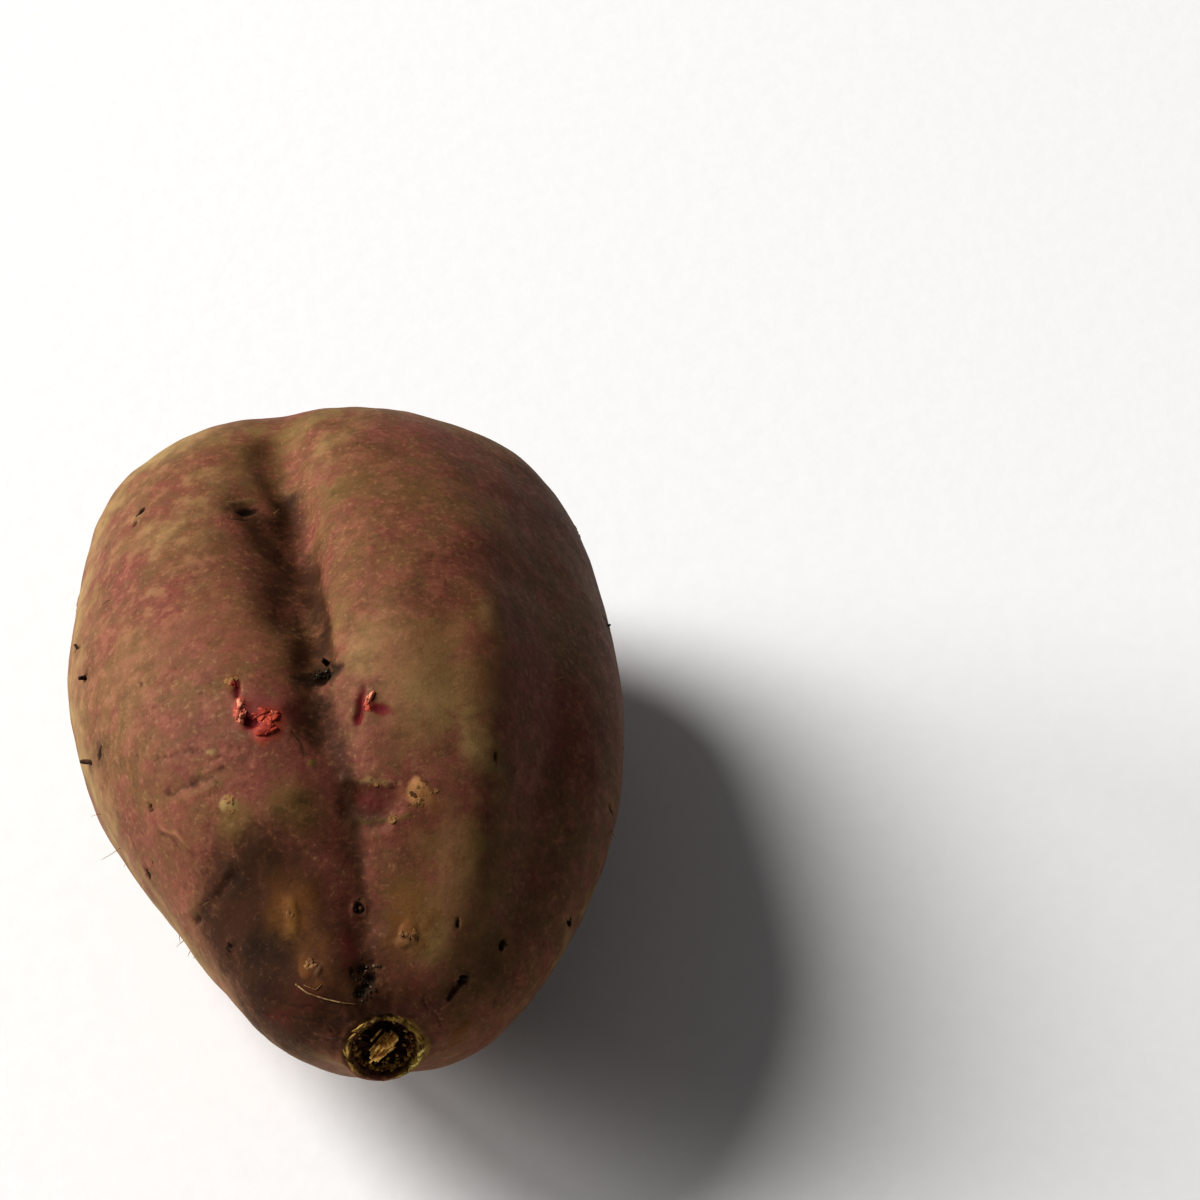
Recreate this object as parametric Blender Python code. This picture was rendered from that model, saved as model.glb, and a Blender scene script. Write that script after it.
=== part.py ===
"""A purple sweet potato, whole, lying on its side: one storage root that grew as one piece.

The long axis runs along Y. The stem scar, where the root was broken off its vine, faces -Y, and
the broad shoulder with the stub of the tail root faces +Y. +Z is up. The root rests on Z = 0 on a
small flat spot under its weight, with its box centred on X = 0 and Y = 0. Units are metres.
"""

import math
from dataclasses import dataclass

import bmesh
import bpy
import numpy as np

# Driving dimensions of the body, before the grooves and dents are pressed into it.
LENGTH = 0.123
CORE_HEIGHTS = (0.0052, 0.0, -0.0045)  # of the core line at the scar, half way and at the tail
SETTLE_DEPTH = 0.0016  # how much of the underside the flat resting spot takes off

# Girths: how far the skin lies from the core line on each side, at five places that are evenly
# spaced in polar angle from the scar end to the tail end, divided by the sine of that angle.
GIRTH_RIGHT = (0.050, 0.0440, 0.0445, 0.0580, 0.074)
GIRTH_TOP = (0.026, 0.031, 0.0375, 0.046, 0.056)
GIRTH_LEFT = (0.038, 0.0316, 0.0420, 0.0560, 0.085)
GIRTH_UNDER = (0.036, 0.0345, 0.0355, 0.038, 0.046)

# The grid of the skin: meridians round the core line, and rings drawn closer towards the ends.
MERIDIANS = 80
RINGS = 60
RING_CROWDING = 0.3

# Grooves, hollows and swellings fade out towards the two ends with this power of the sine.
RELIEF_FADE = 0.5

# The stem scar: a torn ring of skin round a sunken cup, with the broken woody core in the middle.
SCAR_RADIUS = 0.0052
SCAR_REACH = 0.0090  # where the scar has faded into the skin round it
SCAR_TILT_DEG = 20.0  # how far the scar looks up from the horizontal
SCAR_RIM = (0.0008, 0.0009)  # height and half width
SCAR_RAGGED = 0.3  # how much of its height the torn rim gains and loses
SCAR_RAGGED_WAVES = 3  # how many times it does so on the way round
SCAR_RAGGED_START = 0.8  # where the first of them starts, in radians from the right-hand side
SCAR_CUP = (0.0024, 0.0030, 0.0014)  # depth, distance from the middle, and half width
SCAR_CORE = (0.0010, 0.0013)  # height and half width

# The tail root, broken off short.
TAIL_LENGTH = 0.0056
TAIL_RADIUS = 0.0027
TAIL_SQUARENESS = 3.4  # the higher, the steeper the sides of the stub and the flatter its end
TAIL_BEND = (0.0014, -0.0018)  # how far its tip leans to the right and up
TAIL_FLARE = (0.0034, 0.0100)  # height and half width of the cone of skin that it grows from

# Uneven growth: long, low swellings all over.
SWELLING_HEIGHT = 0.0011
SWELLING_COUNT = 14
SWELLING_WAVES = (0.055, 0.110)  # shortest and longest wavelength
SWELLING_SEED = 11

SKIN_COLOUR = (0.23, 0.10, 0.085, 1.0)
SKIN_ROUGHNESS = 0.6


@dataclass(frozen=True)
class Furrow:
    """A groove or, with a negative depth, a ridge that runs from the scar end towards the tail.

    Angles are in degrees. Those round the core line count from the right-hand side over the top,
    and those along it run from 0 at the scar to 180 at the tail.
    """

    at_scar: float  # where it would start, round the core line
    at_tail: float  # where it would end, round the core line
    depth: float
    middle: float  # where it is deepest, along the core line
    reach: float  # how far from there it fades, along the core line
    spread_right: float  # how wide it is on its right
    spread_left: float  # how wide it is on its left
    blunt: float  # the higher, the rounder its bottom


@dataclass(frozen=True)
class Dent:
    """A round hollow or, with a negative depth, a swelling, at one place on the skin.

    The two angles are in degrees and count as a furrow's do.
    """

    along: float
    around: float
    depth: float
    radius: float


FURROWS = (
    # The deep crease between the two large lobes, left of the top.
    Furrow(97, 102, 0.0096, 106, 45, 9, 16, 0.22),
    # Its shallow run-out down to the scar.
    Furrow(90, 100, 0.0030, 44, 24, 13, 15, 0.6),
    # The crest of the right lobe, and the hollow flank that falls away beyond it.
    Furrow(60, 70, -0.0025, 76, 54, 8, 14, 0.4),
    Furrow(40, 46, 0.0032, 68, 34, 17, 9, 0.5),
    # The crest of the left lobe.
    Furrow(120, 142, -0.0022, 96, 44, 22, 22, 0.8),
    # Shallower creases on the sides and the underside.
    Furrow(196, 176, 0.0024, 118, 30, 12, 12, 0.5),
    Furrow(232, 214, 0.0030, 74, 42, 13, 13, 0.4),
    Furrow(306, 318, 0.0034, 110, 40, 12, 14, 0.4),
    Furrow(346, 352, 0.0016, 60, 30, 11, 11, 0.6),
)

DENTS = (
    Dent(40, 126, 0.0034, 0.0135),  # the hollow left of the scar
    Dent(36, 62, -0.0010, 0.0100),
    Dent(72, 158, -0.0012, 0.0160),
    Dent(134, 70, 0.0016, 0.0150),
    Dent(112, 20, 0.0014, 0.0140),
    Dent(46, 330, 0.0018, 0.0140),
    Dent(142, 232, 0.0020, 0.0160),
    Dent(160, 128, -0.0014, 0.0130),
)


def along_core(values, polar):
    """A cosine series through evenly spaced values, which keeps the skin smooth at each end."""
    orders = np.arange(len(values))
    places = np.linspace(0.0, math.pi, len(values))
    weights = np.linalg.solve(np.cos(np.outer(places, orders)), np.array(values))
    return np.cos(np.multiply.outer(polar, orders)) @ weights


def core_line(polar):
    """The point of the core line for each polar angle: it runs along Y, and droops to the tail."""
    forward = -np.cos(polar) * LENGTH / 2
    return np.stack([0 * forward, forward, along_core(CORE_HEIGHTS, polar)], axis=-1)


def body(polar, around):
    """The smooth body: four quarter ellipses round the core line, one for each pair of sides."""
    across, upward = np.cos(around), np.sin(around)
    side = np.where(across > 0, along_core(GIRTH_RIGHT, polar), along_core(GIRTH_LEFT, polar))
    height = np.where(upward > 0, along_core(GIRTH_TOP, polar), along_core(GIRTH_UNDER, polar))
    spread = np.stack([side * across, 0 * across, height * upward], axis=-1)
    return core_line(polar) + spread * np.sin(polar)[..., None]


def furrow_depth(furrow, polar, around):
    """How deep the furrow is at each place: a rounded V across it, fading towards its two ends."""
    along = np.degrees(polar)
    line = furrow.at_scar + (furrow.at_tail - furrow.at_scar) * along / 180
    off = (np.degrees(around) - line + 180) % 360 - 180
    spread = np.where(off > 0, furrow.spread_left, furrow.spread_right)
    across = np.exp(furrow.blunt - np.hypot(off / spread, furrow.blunt))
    fade = np.exp(-(((along - furrow.middle) / furrow.reach) ** 2))
    return furrow.depth * across * fade


def dent_depth(dent, points):
    """How deep the dent is at each of the body's points."""
    centre = body(np.array(math.radians(dent.along)), np.array(math.radians(dent.around)))
    distance = np.linalg.norm(points - centre, axis=-1)
    return dent.depth * np.exp(-((distance / dent.radius) ** 2))


def swelling(points):
    """How far uneven growth lifts each point: a few seeded waves that cross each other."""
    draw = np.random.default_rng(SWELLING_SEED)
    height = np.zeros(points.shape[:-1])
    for _ in range(SWELLING_COUNT):
        heading = draw.normal(size=3)
        wave = 2 * math.pi / draw.uniform(*SWELLING_WAVES)
        phase = draw.uniform(0, 2 * math.pi)
        height += np.sin(points @ (heading / np.linalg.norm(heading)) * wave + phase)
    return SWELLING_HEIGHT * height / math.sqrt(SWELLING_COUNT)


def hill(distance, half_width):
    """A smooth hill of height 1 at distance 0."""
    return np.exp(-((distance / half_width) ** 2))


def with_scar(points):
    """Presses the stem scar into the scar end, square to the way that it looks."""
    tilt = math.radians(SCAR_TILT_DEG)
    outward = np.array([0.0, -math.cos(tilt), math.sin(tilt)])
    from_middle = points - body(np.array(0.0), np.array(0.0))
    level = from_middle @ outward
    flat = from_middle - level[..., None] * outward
    distance = np.linalg.norm(flat, axis=-1)
    bearing = np.arctan2(flat[..., 2], flat[..., 0])
    ragged = 1 + SCAR_RAGGED * np.sin(SCAR_RAGGED_WAVES * bearing + SCAR_RAGGED_START)
    profile = (
        SCAR_RIM[0] * ragged * hill(distance - SCAR_RADIUS, SCAR_RIM[1])
        - SCAR_CUP[0] * hill(distance - SCAR_CUP[1], SCAR_CUP[2])
        + SCAR_CORE[0] * hill(distance, SCAR_CORE[1])
    )
    share = np.clip((SCAR_REACH - distance) / (SCAR_REACH - SCAR_RADIUS), 0, 1)
    share = np.where(points[..., 1] < 0, share * share * (3 - 2 * share), 0)
    return points + (share * (profile - level))[..., None] * outward


def with_tail(points):
    """Draws the tail end out into its cone of skin and the leaning stub of the tail root."""
    from_tail = points - body(np.array(math.pi), np.array(0.0))
    distance = np.hypot(from_tail[..., 0], from_tail[..., 2])
    near_tail = np.where(points[..., 1] > 0, 1, 0)
    share = near_tail / (1 + (distance / TAIL_RADIUS) ** TAIL_SQUARENESS)
    cone = near_tail * TAIL_FLARE[0] * hill(distance, TAIL_FLARE[1])
    lean = share**2
    return points + np.stack(
        [TAIL_BEND[0] * lean, TAIL_LENGTH * share + cone, TAIL_BEND[1] * lean], axis=-1
    )


def skin(polar, around):
    """The skin of the root at each pair of angles, in place on the surface that it lies on."""
    smooth = body(polar, around)
    relief = swelling(smooth)
    for furrow in FURROWS:
        relief = relief - furrow_depth(furrow, polar, around)
    for dent in DENTS:
        relief = relief - dent_depth(dent, smooth)
    outward = np.stack([np.cos(around), 0 * around, np.sin(around)], axis=-1)
    fade = np.sin(polar) ** RELIEF_FADE
    points = smooth + outward * (relief * fade)[..., None]
    points = with_tail(with_scar(points))
    floor = points[..., 2].min() + SETTLE_DEPTH
    points[..., 2] = np.maximum(points[..., 2], floor) - floor
    low, high = points.min(axis=0), points.max(axis=0)
    points[..., :2] -= ((low + high) / 2)[:2]
    return points


def skin_mesh():
    """A ball whose pole axis is turned onto Y, with every point moved out to the skin."""
    ball = bmesh.new()
    bmesh.ops.create_uvsphere(ball, u_segments=MERIDIANS, v_segments=RINGS, radius=1.0)
    start = np.array([vertex.co for vertex in ball.verts])
    even = np.arccos(np.clip(start[:, 2], -1, 1))
    polar = even - RING_CROWDING * np.sin(2 * even)
    around = np.arctan2(start[:, 1], start[:, 0])
    for vertex, place in zip(ball.verts, skin(polar, around)):
        vertex.co = place
    mesh = bpy.data.meshes.new("sweet_potato")
    ball.to_mesh(mesh)
    ball.free()
    mesh.shade_smooth()
    return mesh


def skin_material():
    """The dusky rose-brown skin."""
    material = bpy.data.materials.new("sweet_potato_skin")
    material.use_nodes = True
    shader = material.node_tree.nodes["Principled BSDF"]
    shader.inputs["Base Color"].default_value = SKIN_COLOUR
    shader.inputs["Roughness"].default_value = SKIN_ROUGHNESS
    shader.inputs["Metallic"].default_value = 0.0
    material.diffuse_color = SKIN_COLOUR
    return material


def main():
    """Builds the one node of the part in an empty scene."""
    for old in list(bpy.data.objects):
        bpy.data.objects.remove(old)
    root = bpy.data.objects.new("sweet_potato", skin_mesh())
    root.data.materials.append(skin_material())
    bpy.context.scene.collection.objects.link(root)


main()
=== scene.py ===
"""The looks of a purple sweet potato: its corky skin, scar, sores, broken rootlets and hairs.

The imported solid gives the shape. The skin here is that shape made finer, with the relief that is
too small for the solid pressed into it, and the loose and torn bits are pieces of their own. Units
are metres. A place on the side that the photograph shows is named by its pixel there, and found on
the skin by following the camera's line of sight to it.
"""

import logging
import math
from dataclasses import dataclass, field
from enum import Enum

import bmesh
import bpy
import numpy as np
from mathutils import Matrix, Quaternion, Vector
from mathutils.bvhtree import BVHTree


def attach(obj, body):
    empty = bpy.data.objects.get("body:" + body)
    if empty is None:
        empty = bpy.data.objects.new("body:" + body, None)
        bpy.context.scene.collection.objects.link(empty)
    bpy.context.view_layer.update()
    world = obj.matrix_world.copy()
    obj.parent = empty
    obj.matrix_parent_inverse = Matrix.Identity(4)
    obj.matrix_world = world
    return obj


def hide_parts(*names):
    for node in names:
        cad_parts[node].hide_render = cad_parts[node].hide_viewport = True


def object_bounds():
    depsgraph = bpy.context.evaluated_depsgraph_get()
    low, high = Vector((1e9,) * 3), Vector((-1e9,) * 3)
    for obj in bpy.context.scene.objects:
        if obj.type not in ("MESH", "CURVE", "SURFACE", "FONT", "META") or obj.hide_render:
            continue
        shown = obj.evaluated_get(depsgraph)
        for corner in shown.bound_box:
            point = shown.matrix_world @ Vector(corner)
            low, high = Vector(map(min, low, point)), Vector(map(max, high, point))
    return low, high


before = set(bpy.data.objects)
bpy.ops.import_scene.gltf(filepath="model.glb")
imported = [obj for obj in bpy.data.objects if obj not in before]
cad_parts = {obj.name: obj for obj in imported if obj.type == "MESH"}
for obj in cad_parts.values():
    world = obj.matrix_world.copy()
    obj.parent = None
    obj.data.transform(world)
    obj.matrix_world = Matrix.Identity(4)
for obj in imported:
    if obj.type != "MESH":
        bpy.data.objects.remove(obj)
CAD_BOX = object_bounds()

NODE = "sweet_potato"
BODY = "root"

Colour = tuple[float, float, float, float]
Pixel = tuple[float, float]

log = logging.getLogger("sweet_potato")


def tint(red: int, green: int, blue: int) -> Colour:
    """A colour from screen values.

    Args:
        red: Red from 0 to 255, as a screen shows it.
        green: Green, likewise.
        blue: Blue, likewise.

    Returns:
        The colour as the shaders read it, in linear light, with an alpha of 1.
    """
    linear = [
        part / 12.92 if part <= 0.04045 else ((part + 0.055) / 1.055) ** 2.4
        for part in (red / 255, green / 255, blue / 255)
    ]
    return (linear[0], linear[1], linear[2], 1.0)


def ease(value: np.ndarray, low: float, high: float) -> np.ndarray:
    """A smooth step.

    Args:
        value: The values to step over.
        low: Where the step starts, at 0. It may lie above high, and the step then falls.
        high: Where the step ends, at 1.

    Returns:
        Numbers from 0 to 1.
    """
    share = np.clip((value - low) / (high - low), 0.0, 1.0)
    return share * share * (3.0 - 2.0 * share)


def hill(distance: np.ndarray, half_width: float) -> np.ndarray:
    """A smooth hill of height 1 at distance 0."""
    return np.exp(-((distance / half_width) ** 2))


def threaded(corners: np.ndarray, steps: int) -> np.ndarray:
    """Straight lines from corner to corner, as points.

    Args:
        corners: Where they run through, one a row.
        steps: How many points there are from one corner to the next.

    Returns:
        The points, one a row.
    """
    legs = len(corners) - 1
    finer = np.linspace(0, legs, steps * legs + 1)
    return np.stack([np.interp(finer, np.arange(legs + 1), column) for column in corners.T], axis=1)


def bent(start: Vector, heading: Vector, length: float, curl: Vector, steps: int) -> np.ndarray:
    """A curved path.

    Args:
        start: Where it begins.
        heading: The way that it sets off, as a unit vector.
        length: How long it is.
        curl: How far its end is drawn aside.
        steps: How many points it has.

    Returns:
        The points, one a row.
    """
    share = np.linspace(0.0, 1.0, steps)[:, None]
    return np.array(start) + np.array(heading) * length * share + np.array(curl) * share**2


class Grain:
    """Seeded noise in space, for relief that is worked out vertex by vertex."""

    def __init__(self, seed: int) -> None:
        """Draws the table of random numbers.

        Args:
            seed: Names the noise. The same seed gives the same noise.
        """
        self.order = np.random.default_rng(seed).permutation(256)

    def at(self, points: np.ndarray, wavelength: float | tuple[float, float, float]) -> np.ndarray:
        """Noise at each point.

        Args:
            points: Places in metres, one a row.
            wavelength: The size of one lump, in metres, the same all round or along each axis.

        Returns:
            Numbers from -1 to 1.
        """
        cells = points / np.array(wavelength)
        base = np.floor(cells).astype(int)
        inside = cells - base
        blend = inside * inside * (3.0 - 2.0 * inside)
        total = np.zeros(len(points))
        for corner in np.ndindex(2, 2, 2):
            x, y, z = (base + corner).T
            drawn = self.order[(self.order[(self.order[x % 256] + y) % 256] + z) % 256]
            weight = np.where(corner, blend, 1.0 - blend).prod(axis=1)
            total += weight * (drawn / 127.5 - 1.0)
        return total

    def layers(self, points: np.ndarray, wavelength: float, count: int) -> np.ndarray:
        """Noise in several layers, each half as large and half as high as the one before.

        Args:
            points: Places in metres, one a row.
            wavelength: The size of the largest lumps, in metres.
            count: How many layers.

        Returns:
            Numbers around 0, mostly from -1 to 1.
        """
        return sum(
            self.at(points + 31.0 * layer, wavelength / 2**layer) / 2**layer
            for layer in range(count)
        )


class Value:
    """A number that varies over a surface: a socket that takes part in expressions."""

    def __init__(self, shader: "Shader", socket: bpy.types.NodeSocket) -> None:
        """Wraps a node's output.

        Args:
            shader: The material that the node is in.
            socket: The output.
        """
        self.shader = shader
        self.socket = socket

    def _maths(self, operation: str, first: "Value | float", second: "Value | float") -> "Value":
        """Adds one Math node and returns its output."""
        return self.shader.add("ShaderNodeMath", {"operation": operation}, {0: first, 1: second})

    def __add__(self, other: "Value | float") -> "Value":
        """self + other."""
        return self._maths("ADD", self, other)

    def __radd__(self, other: float) -> "Value":
        """other + self."""
        return self._maths("ADD", other, self)

    def __sub__(self, other: "Value | float") -> "Value":
        """self - other."""
        return self._maths("SUBTRACT", self, other)

    def __rsub__(self, other: float) -> "Value":
        """other - self."""
        return self._maths("SUBTRACT", other, self)

    def __mul__(self, other: "Value | float") -> "Value":
        """self * other."""
        return self._maths("MULTIPLY", self, other)

    def eased(self, low: float, high: float) -> "Value":
        """A smooth step from 0 at low to 1 at high.

        Args:
            low: Where the step starts.
            high: Where it ends. It may lie below low, and the step then falls.

        Returns:
            A number from 0 to 1.
        """
        settings = {"interpolation_type": "SMOOTHSTEP"}
        if low < high:
            return self.shader.add(
                "ShaderNodeMapRange", settings, {"Value": self, "From Min": low, "From Max": high}
            )
        return 1.0 - self.eased(high, low)


class Shader:
    """A material under construction: its nodes, and the finished surface at the end."""

    def __init__(self, name: str) -> None:
        """Starts a material.

        Args:
            name: The material's name.
        """
        self.material = bpy.data.materials.new(name)
        self.material.use_nodes = True
        self.tree = self.material.node_tree
        self.surface = self.tree.nodes["Principled BSDF"]

    def add(
        self,
        kind: str,
        settings: dict[str, object] | None = None,
        inputs: dict[int | str, object] | None = None,
        output: int | str = 0,
    ) -> Value:
        """Adds a node.

        Args:
            kind: The node's type.
            settings: What is set on the node itself, before its sockets.
            inputs: What each input socket holds: a Value to link, or a number, vector or colour.
            output: Which output to return.

        Returns:
            That output.
        """
        node = self.tree.nodes.new(kind)
        for name, setting in (settings or {}).items():
            setattr(node, name, setting)
        for name, held in (inputs or {}).items():
            self.put(node.inputs[name], held)
        return Value(self, node.outputs[output])

    def put(self, socket: bpy.types.NodeSocket, held: object) -> None:
        """Links a Value to an input socket, or sets anything else on it."""
        if isinstance(held, Value):
            self.tree.links.new(held.socket, socket)
        else:
            socket.default_value = held

    def place(self) -> Value:
        """The point on the surface, in metres in the object's own frame."""
        return self.add("ShaderNodeTexCoord", output="Object")

    def stretched(self, vector: Value, factors: tuple[float, float, float]) -> Value:
        """A vector multiplied along each axis."""
        return self.add("ShaderNodeVectorMath", {"operation": "MULTIPLY"}, {0: vector, 1: factors})

    def noise(
        self, vector: Value, size: float, detail: float = 3.0, roughness: float = 0.55, warp: float = 0.0
    ) -> Value:
        """Noise over a surface.

        Args:
            vector: Where it is read.
            size: The size of one lump, in the vector's own units.
            detail: How many finer layers it has.
            roughness: How strong those are.
            warp: How far it is bent out of shape by itself.

        Returns:
            Numbers around 0.5.
        """
        inputs = {
            "Vector": vector,
            "Scale": 1.0 / size,
            "Detail": detail,
            "Roughness": roughness,
            "Distortion": warp,
        }
        return self.add("ShaderNodeTexNoise", None, inputs)

    def scattered(self, vector: Value, size: float) -> Value:
        """The distance to the nearest of many scattered points.

        Args:
            vector: Where it is read.
            size: How far the points lie apart, in the vector's own units.

        Returns:
            The distance, as a share of that.
        """
        inputs = {"Vector": vector, "Scale": 1.0 / size}
        return self.add("ShaderNodeTexVoronoi", None, inputs, "Distance")

    def stain(self, name: str) -> Value:
        """The share of a stain that the mesh carries at each point, from 0 to 1."""
        return self.add("ShaderNodeAttribute", {"attribute_name": name}, None, "Fac")

    def mix(
        self, share: Value | float, first: Value | Colour, second: Value | Colour, blend: str = "MIX"
    ) -> Value:
        """Mixes two colours.

        Args:
            share: How much of the second colour there is, from 0 to 1.
            first: The colour where the share is 0.
            second: The colour where the share is 1.
            blend: How they are mixed.

        Returns:
            The mixed colour.
        """
        settings = {"data_type": "RGBA", "blend_type": blend, "clamp_factor": True}
        factor, colour_a, colour_b, result = 0, 6, 7, 2
        inputs = {factor: share, colour_a: first, colour_b: second}
        return self.add("ShaderNodeMix", settings, inputs, result)

    def bump(self, height: Value, distance: float, below: Value | None = None) -> Value:
        """Fine relief.

        Args:
            height: The height at each point, from 0 to 1.
            distance: How high 1 is, in metres.
            below: The relief that it lies on.

        Returns:
            The bent normal.
        """
        inputs: dict[int | str, object] = {"Height": height, "Distance": distance}
        if below is not None:
            inputs["Normal"] = below
        return self.add("ShaderNodeBump", None, inputs, "Normal")

    def finished(self, **inputs: object) -> bpy.types.Material:
        """Fills in the surface's sockets.

        Args:
            inputs: What each socket holds, by its name with spaces as underscores.

        Returns:
            The material.
        """
        for name, held in inputs.items():
            self.put(self.surface.inputs[name.replace("_", " ")], held)
        return self.material


# Besides the real stains, umber and soot also serve as painted shade, and tan as painted rim light and
# painted highlights.
class Stain(Enum):
    """What a mark tints the skin with, from the lowest layer to the highest.

    The skin's mesh carries the share of each at each vertex.
    """

    TAN = "tan"
    ROSE = "rose"
    OLIVE = "olive"
    AMBER = "amber"
    UMBER = "umber"
    CORK = "cork"
    RUST = "rust"
    RAW = "raw"
    CRIMSON = "crimson"
    SOOT = "soot"


@dataclass(frozen=True)
class SkinFinish:
    """The corky skin: mottled rose-brown and tan, finely ringed, with the stains, painted shade and painted
    highlights that the mesh carries.
    """

    rose_brown: Colour = tint(108, 63, 50)
    tan_brown: Colour = tint(110, 80, 51)
    rosy: Colour = tint(116, 64, 55)
    olive_brown: Colour = tint(96, 72, 45)
    dusk: Colour = tint(70, 42, 33)
    blush: Colour = tint(140, 90, 72)
    fleck: Colour = tint(162, 124, 88)
    speck: Colour = tint(42, 26, 20)
    ring_line: Colour = tint(120, 84, 66)
    dust: Colour = tint(250, 226, 172)
    stains: dict[Stain, Colour] = field(
        default_factory=lambda: {
            Stain.TAN: tint(148, 124, 80),
            Stain.ROSE: tint(120, 66, 58),
            Stain.OLIVE: tint(104, 84, 44),
            Stain.AMBER: tint(214, 158, 108),
            Stain.UMBER: tint(60, 36, 22),
            Stain.CORK: tint(160, 134, 64),
            Stain.RUST: tint(108, 70, 36),
            Stain.RAW: tint(154, 66, 50),
            Stain.CRIMSON: tint(96, 26, 30),
            Stain.SOOT: tint(30, 20, 11),
        }
    )
    broad_size: float = 0.021
    patch_size: float = 0.0062
    mottle_size: float = 0.0030
    small_size: float = 0.0017
    fine_size: float = 0.0009
    grit_size: float = 0.00038
    dot_spacing: float = 0.0026
    ring_size: float = 0.0009
    ring_stretch: tuple[float, float, float] = (0.4, 1.0, 0.4)  # below 1 where a ring is drawn out
    mottle_relief: float = 0.00012
    ring_relief: float = 0.00003
    grain_relief: float = 0.00005

    def material(self) -> bpy.types.Material:
        """Builds the material.

        Returns:
            The skin's material.
        """
        shader = Shader("sweet_potato_skin")
        place = shader.place()
        broad = shader.noise(place, self.broad_size)
        patchy = shader.noise(place, self.patch_size, detail=5.0, roughness=0.62, warp=0.1)
        mottle = shader.noise(place, self.mottle_size, detail=4.0, roughness=0.6)
        small = shader.noise(place, self.small_size, roughness=0.6)
        fine = shader.noise(place, self.fine_size, roughness=0.65)
        grit = shader.noise(place, self.grit_size, detail=2.0)
        drawn_out = shader.stretched(place, self.ring_stretch)
        rings = shader.noise(drawn_out, self.ring_size, roughness=0.6, warp=0.5)

        colour = shader.mix(broad.eased(0.40, 0.62), self.rose_brown, self.tan_brown)
        colour = shader.mix(patchy.eased(0.50, 0.70) * 0.50, colour, self.dusk)
        colour = shader.mix(patchy.eased(0.52, 0.38) * 0.54, colour, self.rosy)
        colour = shader.mix(mottle.eased(0.50, 0.64) * 0.46, colour, self.blush)
        colour = shader.mix(mottle.eased(0.50, 0.36) * 0.56, colour, self.olive_brown)
        colour = shader.mix(small.eased(0.50, 0.66) * 0.18, colour, self.rosy)
        colour = shader.mix(small.eased(0.50, 0.34) * 0.20, colour, self.blush)
        colour = shader.mix(fine.eased(0.54, 0.72) * 0.26, colour, self.speck)
        colour = shader.mix(fine.eased(0.46, 0.30) * 0.24, colour, self.fleck)
        dots = shader.scattered(place, self.dot_spacing).eased(0.15, 0.07) * patchy.eased(0.42, 0.55)
        colour = shader.mix(dots * 0.16, colour, self.fleck)
        # The mesh's layers: stains, with painted shade in umber and soot and painted highlights in tan.
        for stain in Stain:
            share = shader.stain(stain.value)
            torn = share + (patchy - 0.5) * 0.95 + (mottle - 0.5) * 0.75 + (fine - 0.5) * 0.30
            colour = shader.mix(torn.eased(0.15, 0.95) * share.eased(0.0, 0.30), colour, self.stains[stain])
        colour = shader.mix(rings.eased(0.50, 0.72) * 0.10, colour, self.ring_line, "MULTIPLY")
        colour = shader.mix(grit.eased(0.50, 0.72) * 0.16, colour, self.speck)
        colour = shader.mix(fine.eased(0.44, 0.28) * 0.08, colour, self.fleck)

        soot = shader.stain(Stain.SOOT.value)
        raw = shader.stain(Stain.RAW.value)
        roughness = 0.62 + (fine - 0.5) * 0.30 + soot * 0.20 - raw * 0.20
        normal = shader.bump(mottle, self.mottle_relief)
        normal = shader.bump(rings * 0.5 + dots * 0.5, self.ring_relief, normal)
        normal = shader.bump(fine * 0.6 + grit * 0.4, self.grain_relief, normal)
        return shader.finished(
            Base_Color=colour,
            Roughness=roughness,
            Normal=normal,
            Specular_IOR_Level=0.07,
            Sheen_Weight=0.04,
            Sheen_Roughness=0.36,
            Sheen_Tint=self.dust,
        )


@dataclass(frozen=True)
class TissueFinish:
    """Torn tissue: cork, flesh, wood or soil, with grains and darker patches."""

    name: str
    light: Colour
    dark: Colour
    grain: float = 0.0007  # the size of one
    roughness: float = 0.6
    relief: float = 0.00012

    def material(self) -> bpy.types.Material:
        """Builds the material.

        Returns:
            The tissue's material.
        """
        shader = Shader(self.name)
        place = shader.place()
        coarse = shader.noise(place, self.grain * 2.6, roughness=0.6)
        fine = shader.noise(place, self.grain, detail=4.0, roughness=0.65, warp=0.6)
        colour = shader.mix(coarse.eased(0.40, 0.62), self.light, self.dark)
        colour = shader.mix(fine.eased(0.54, 0.76) * 0.6, colour, self.dark)
        roughness = self.roughness + (fine - 0.5) * 0.35
        normal = shader.bump(fine, self.relief)
        return shader.finished(
            Base_Color=colour, Roughness=roughness, Normal=normal, Specular_IOR_Level=0.12
        )


@dataclass(frozen=True)
class FloorFinish:
    """A plain pale floor with a barely visible tooth."""

    pale: Colour = tint(240, 240, 240)
    shade: Colour = tint(234, 234, 234)
    tooth_size: float = 0.004
    tooth_relief: float = 0.00005

    def material(self) -> bpy.types.Material:
        """Builds the material.

        Returns:
            The floor's material.
        """
        shader = Shader("pale_floor")
        tooth = shader.noise(shader.place(), self.tooth_size, detail=4.0)
        colour = shader.mix(tooth, self.pale, self.shade)
        normal = shader.bump(tooth, self.tooth_relief)
        return shader.finished(Base_Color=colour, Roughness=0.62 + tooth * 0.2, Normal=normal)


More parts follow.
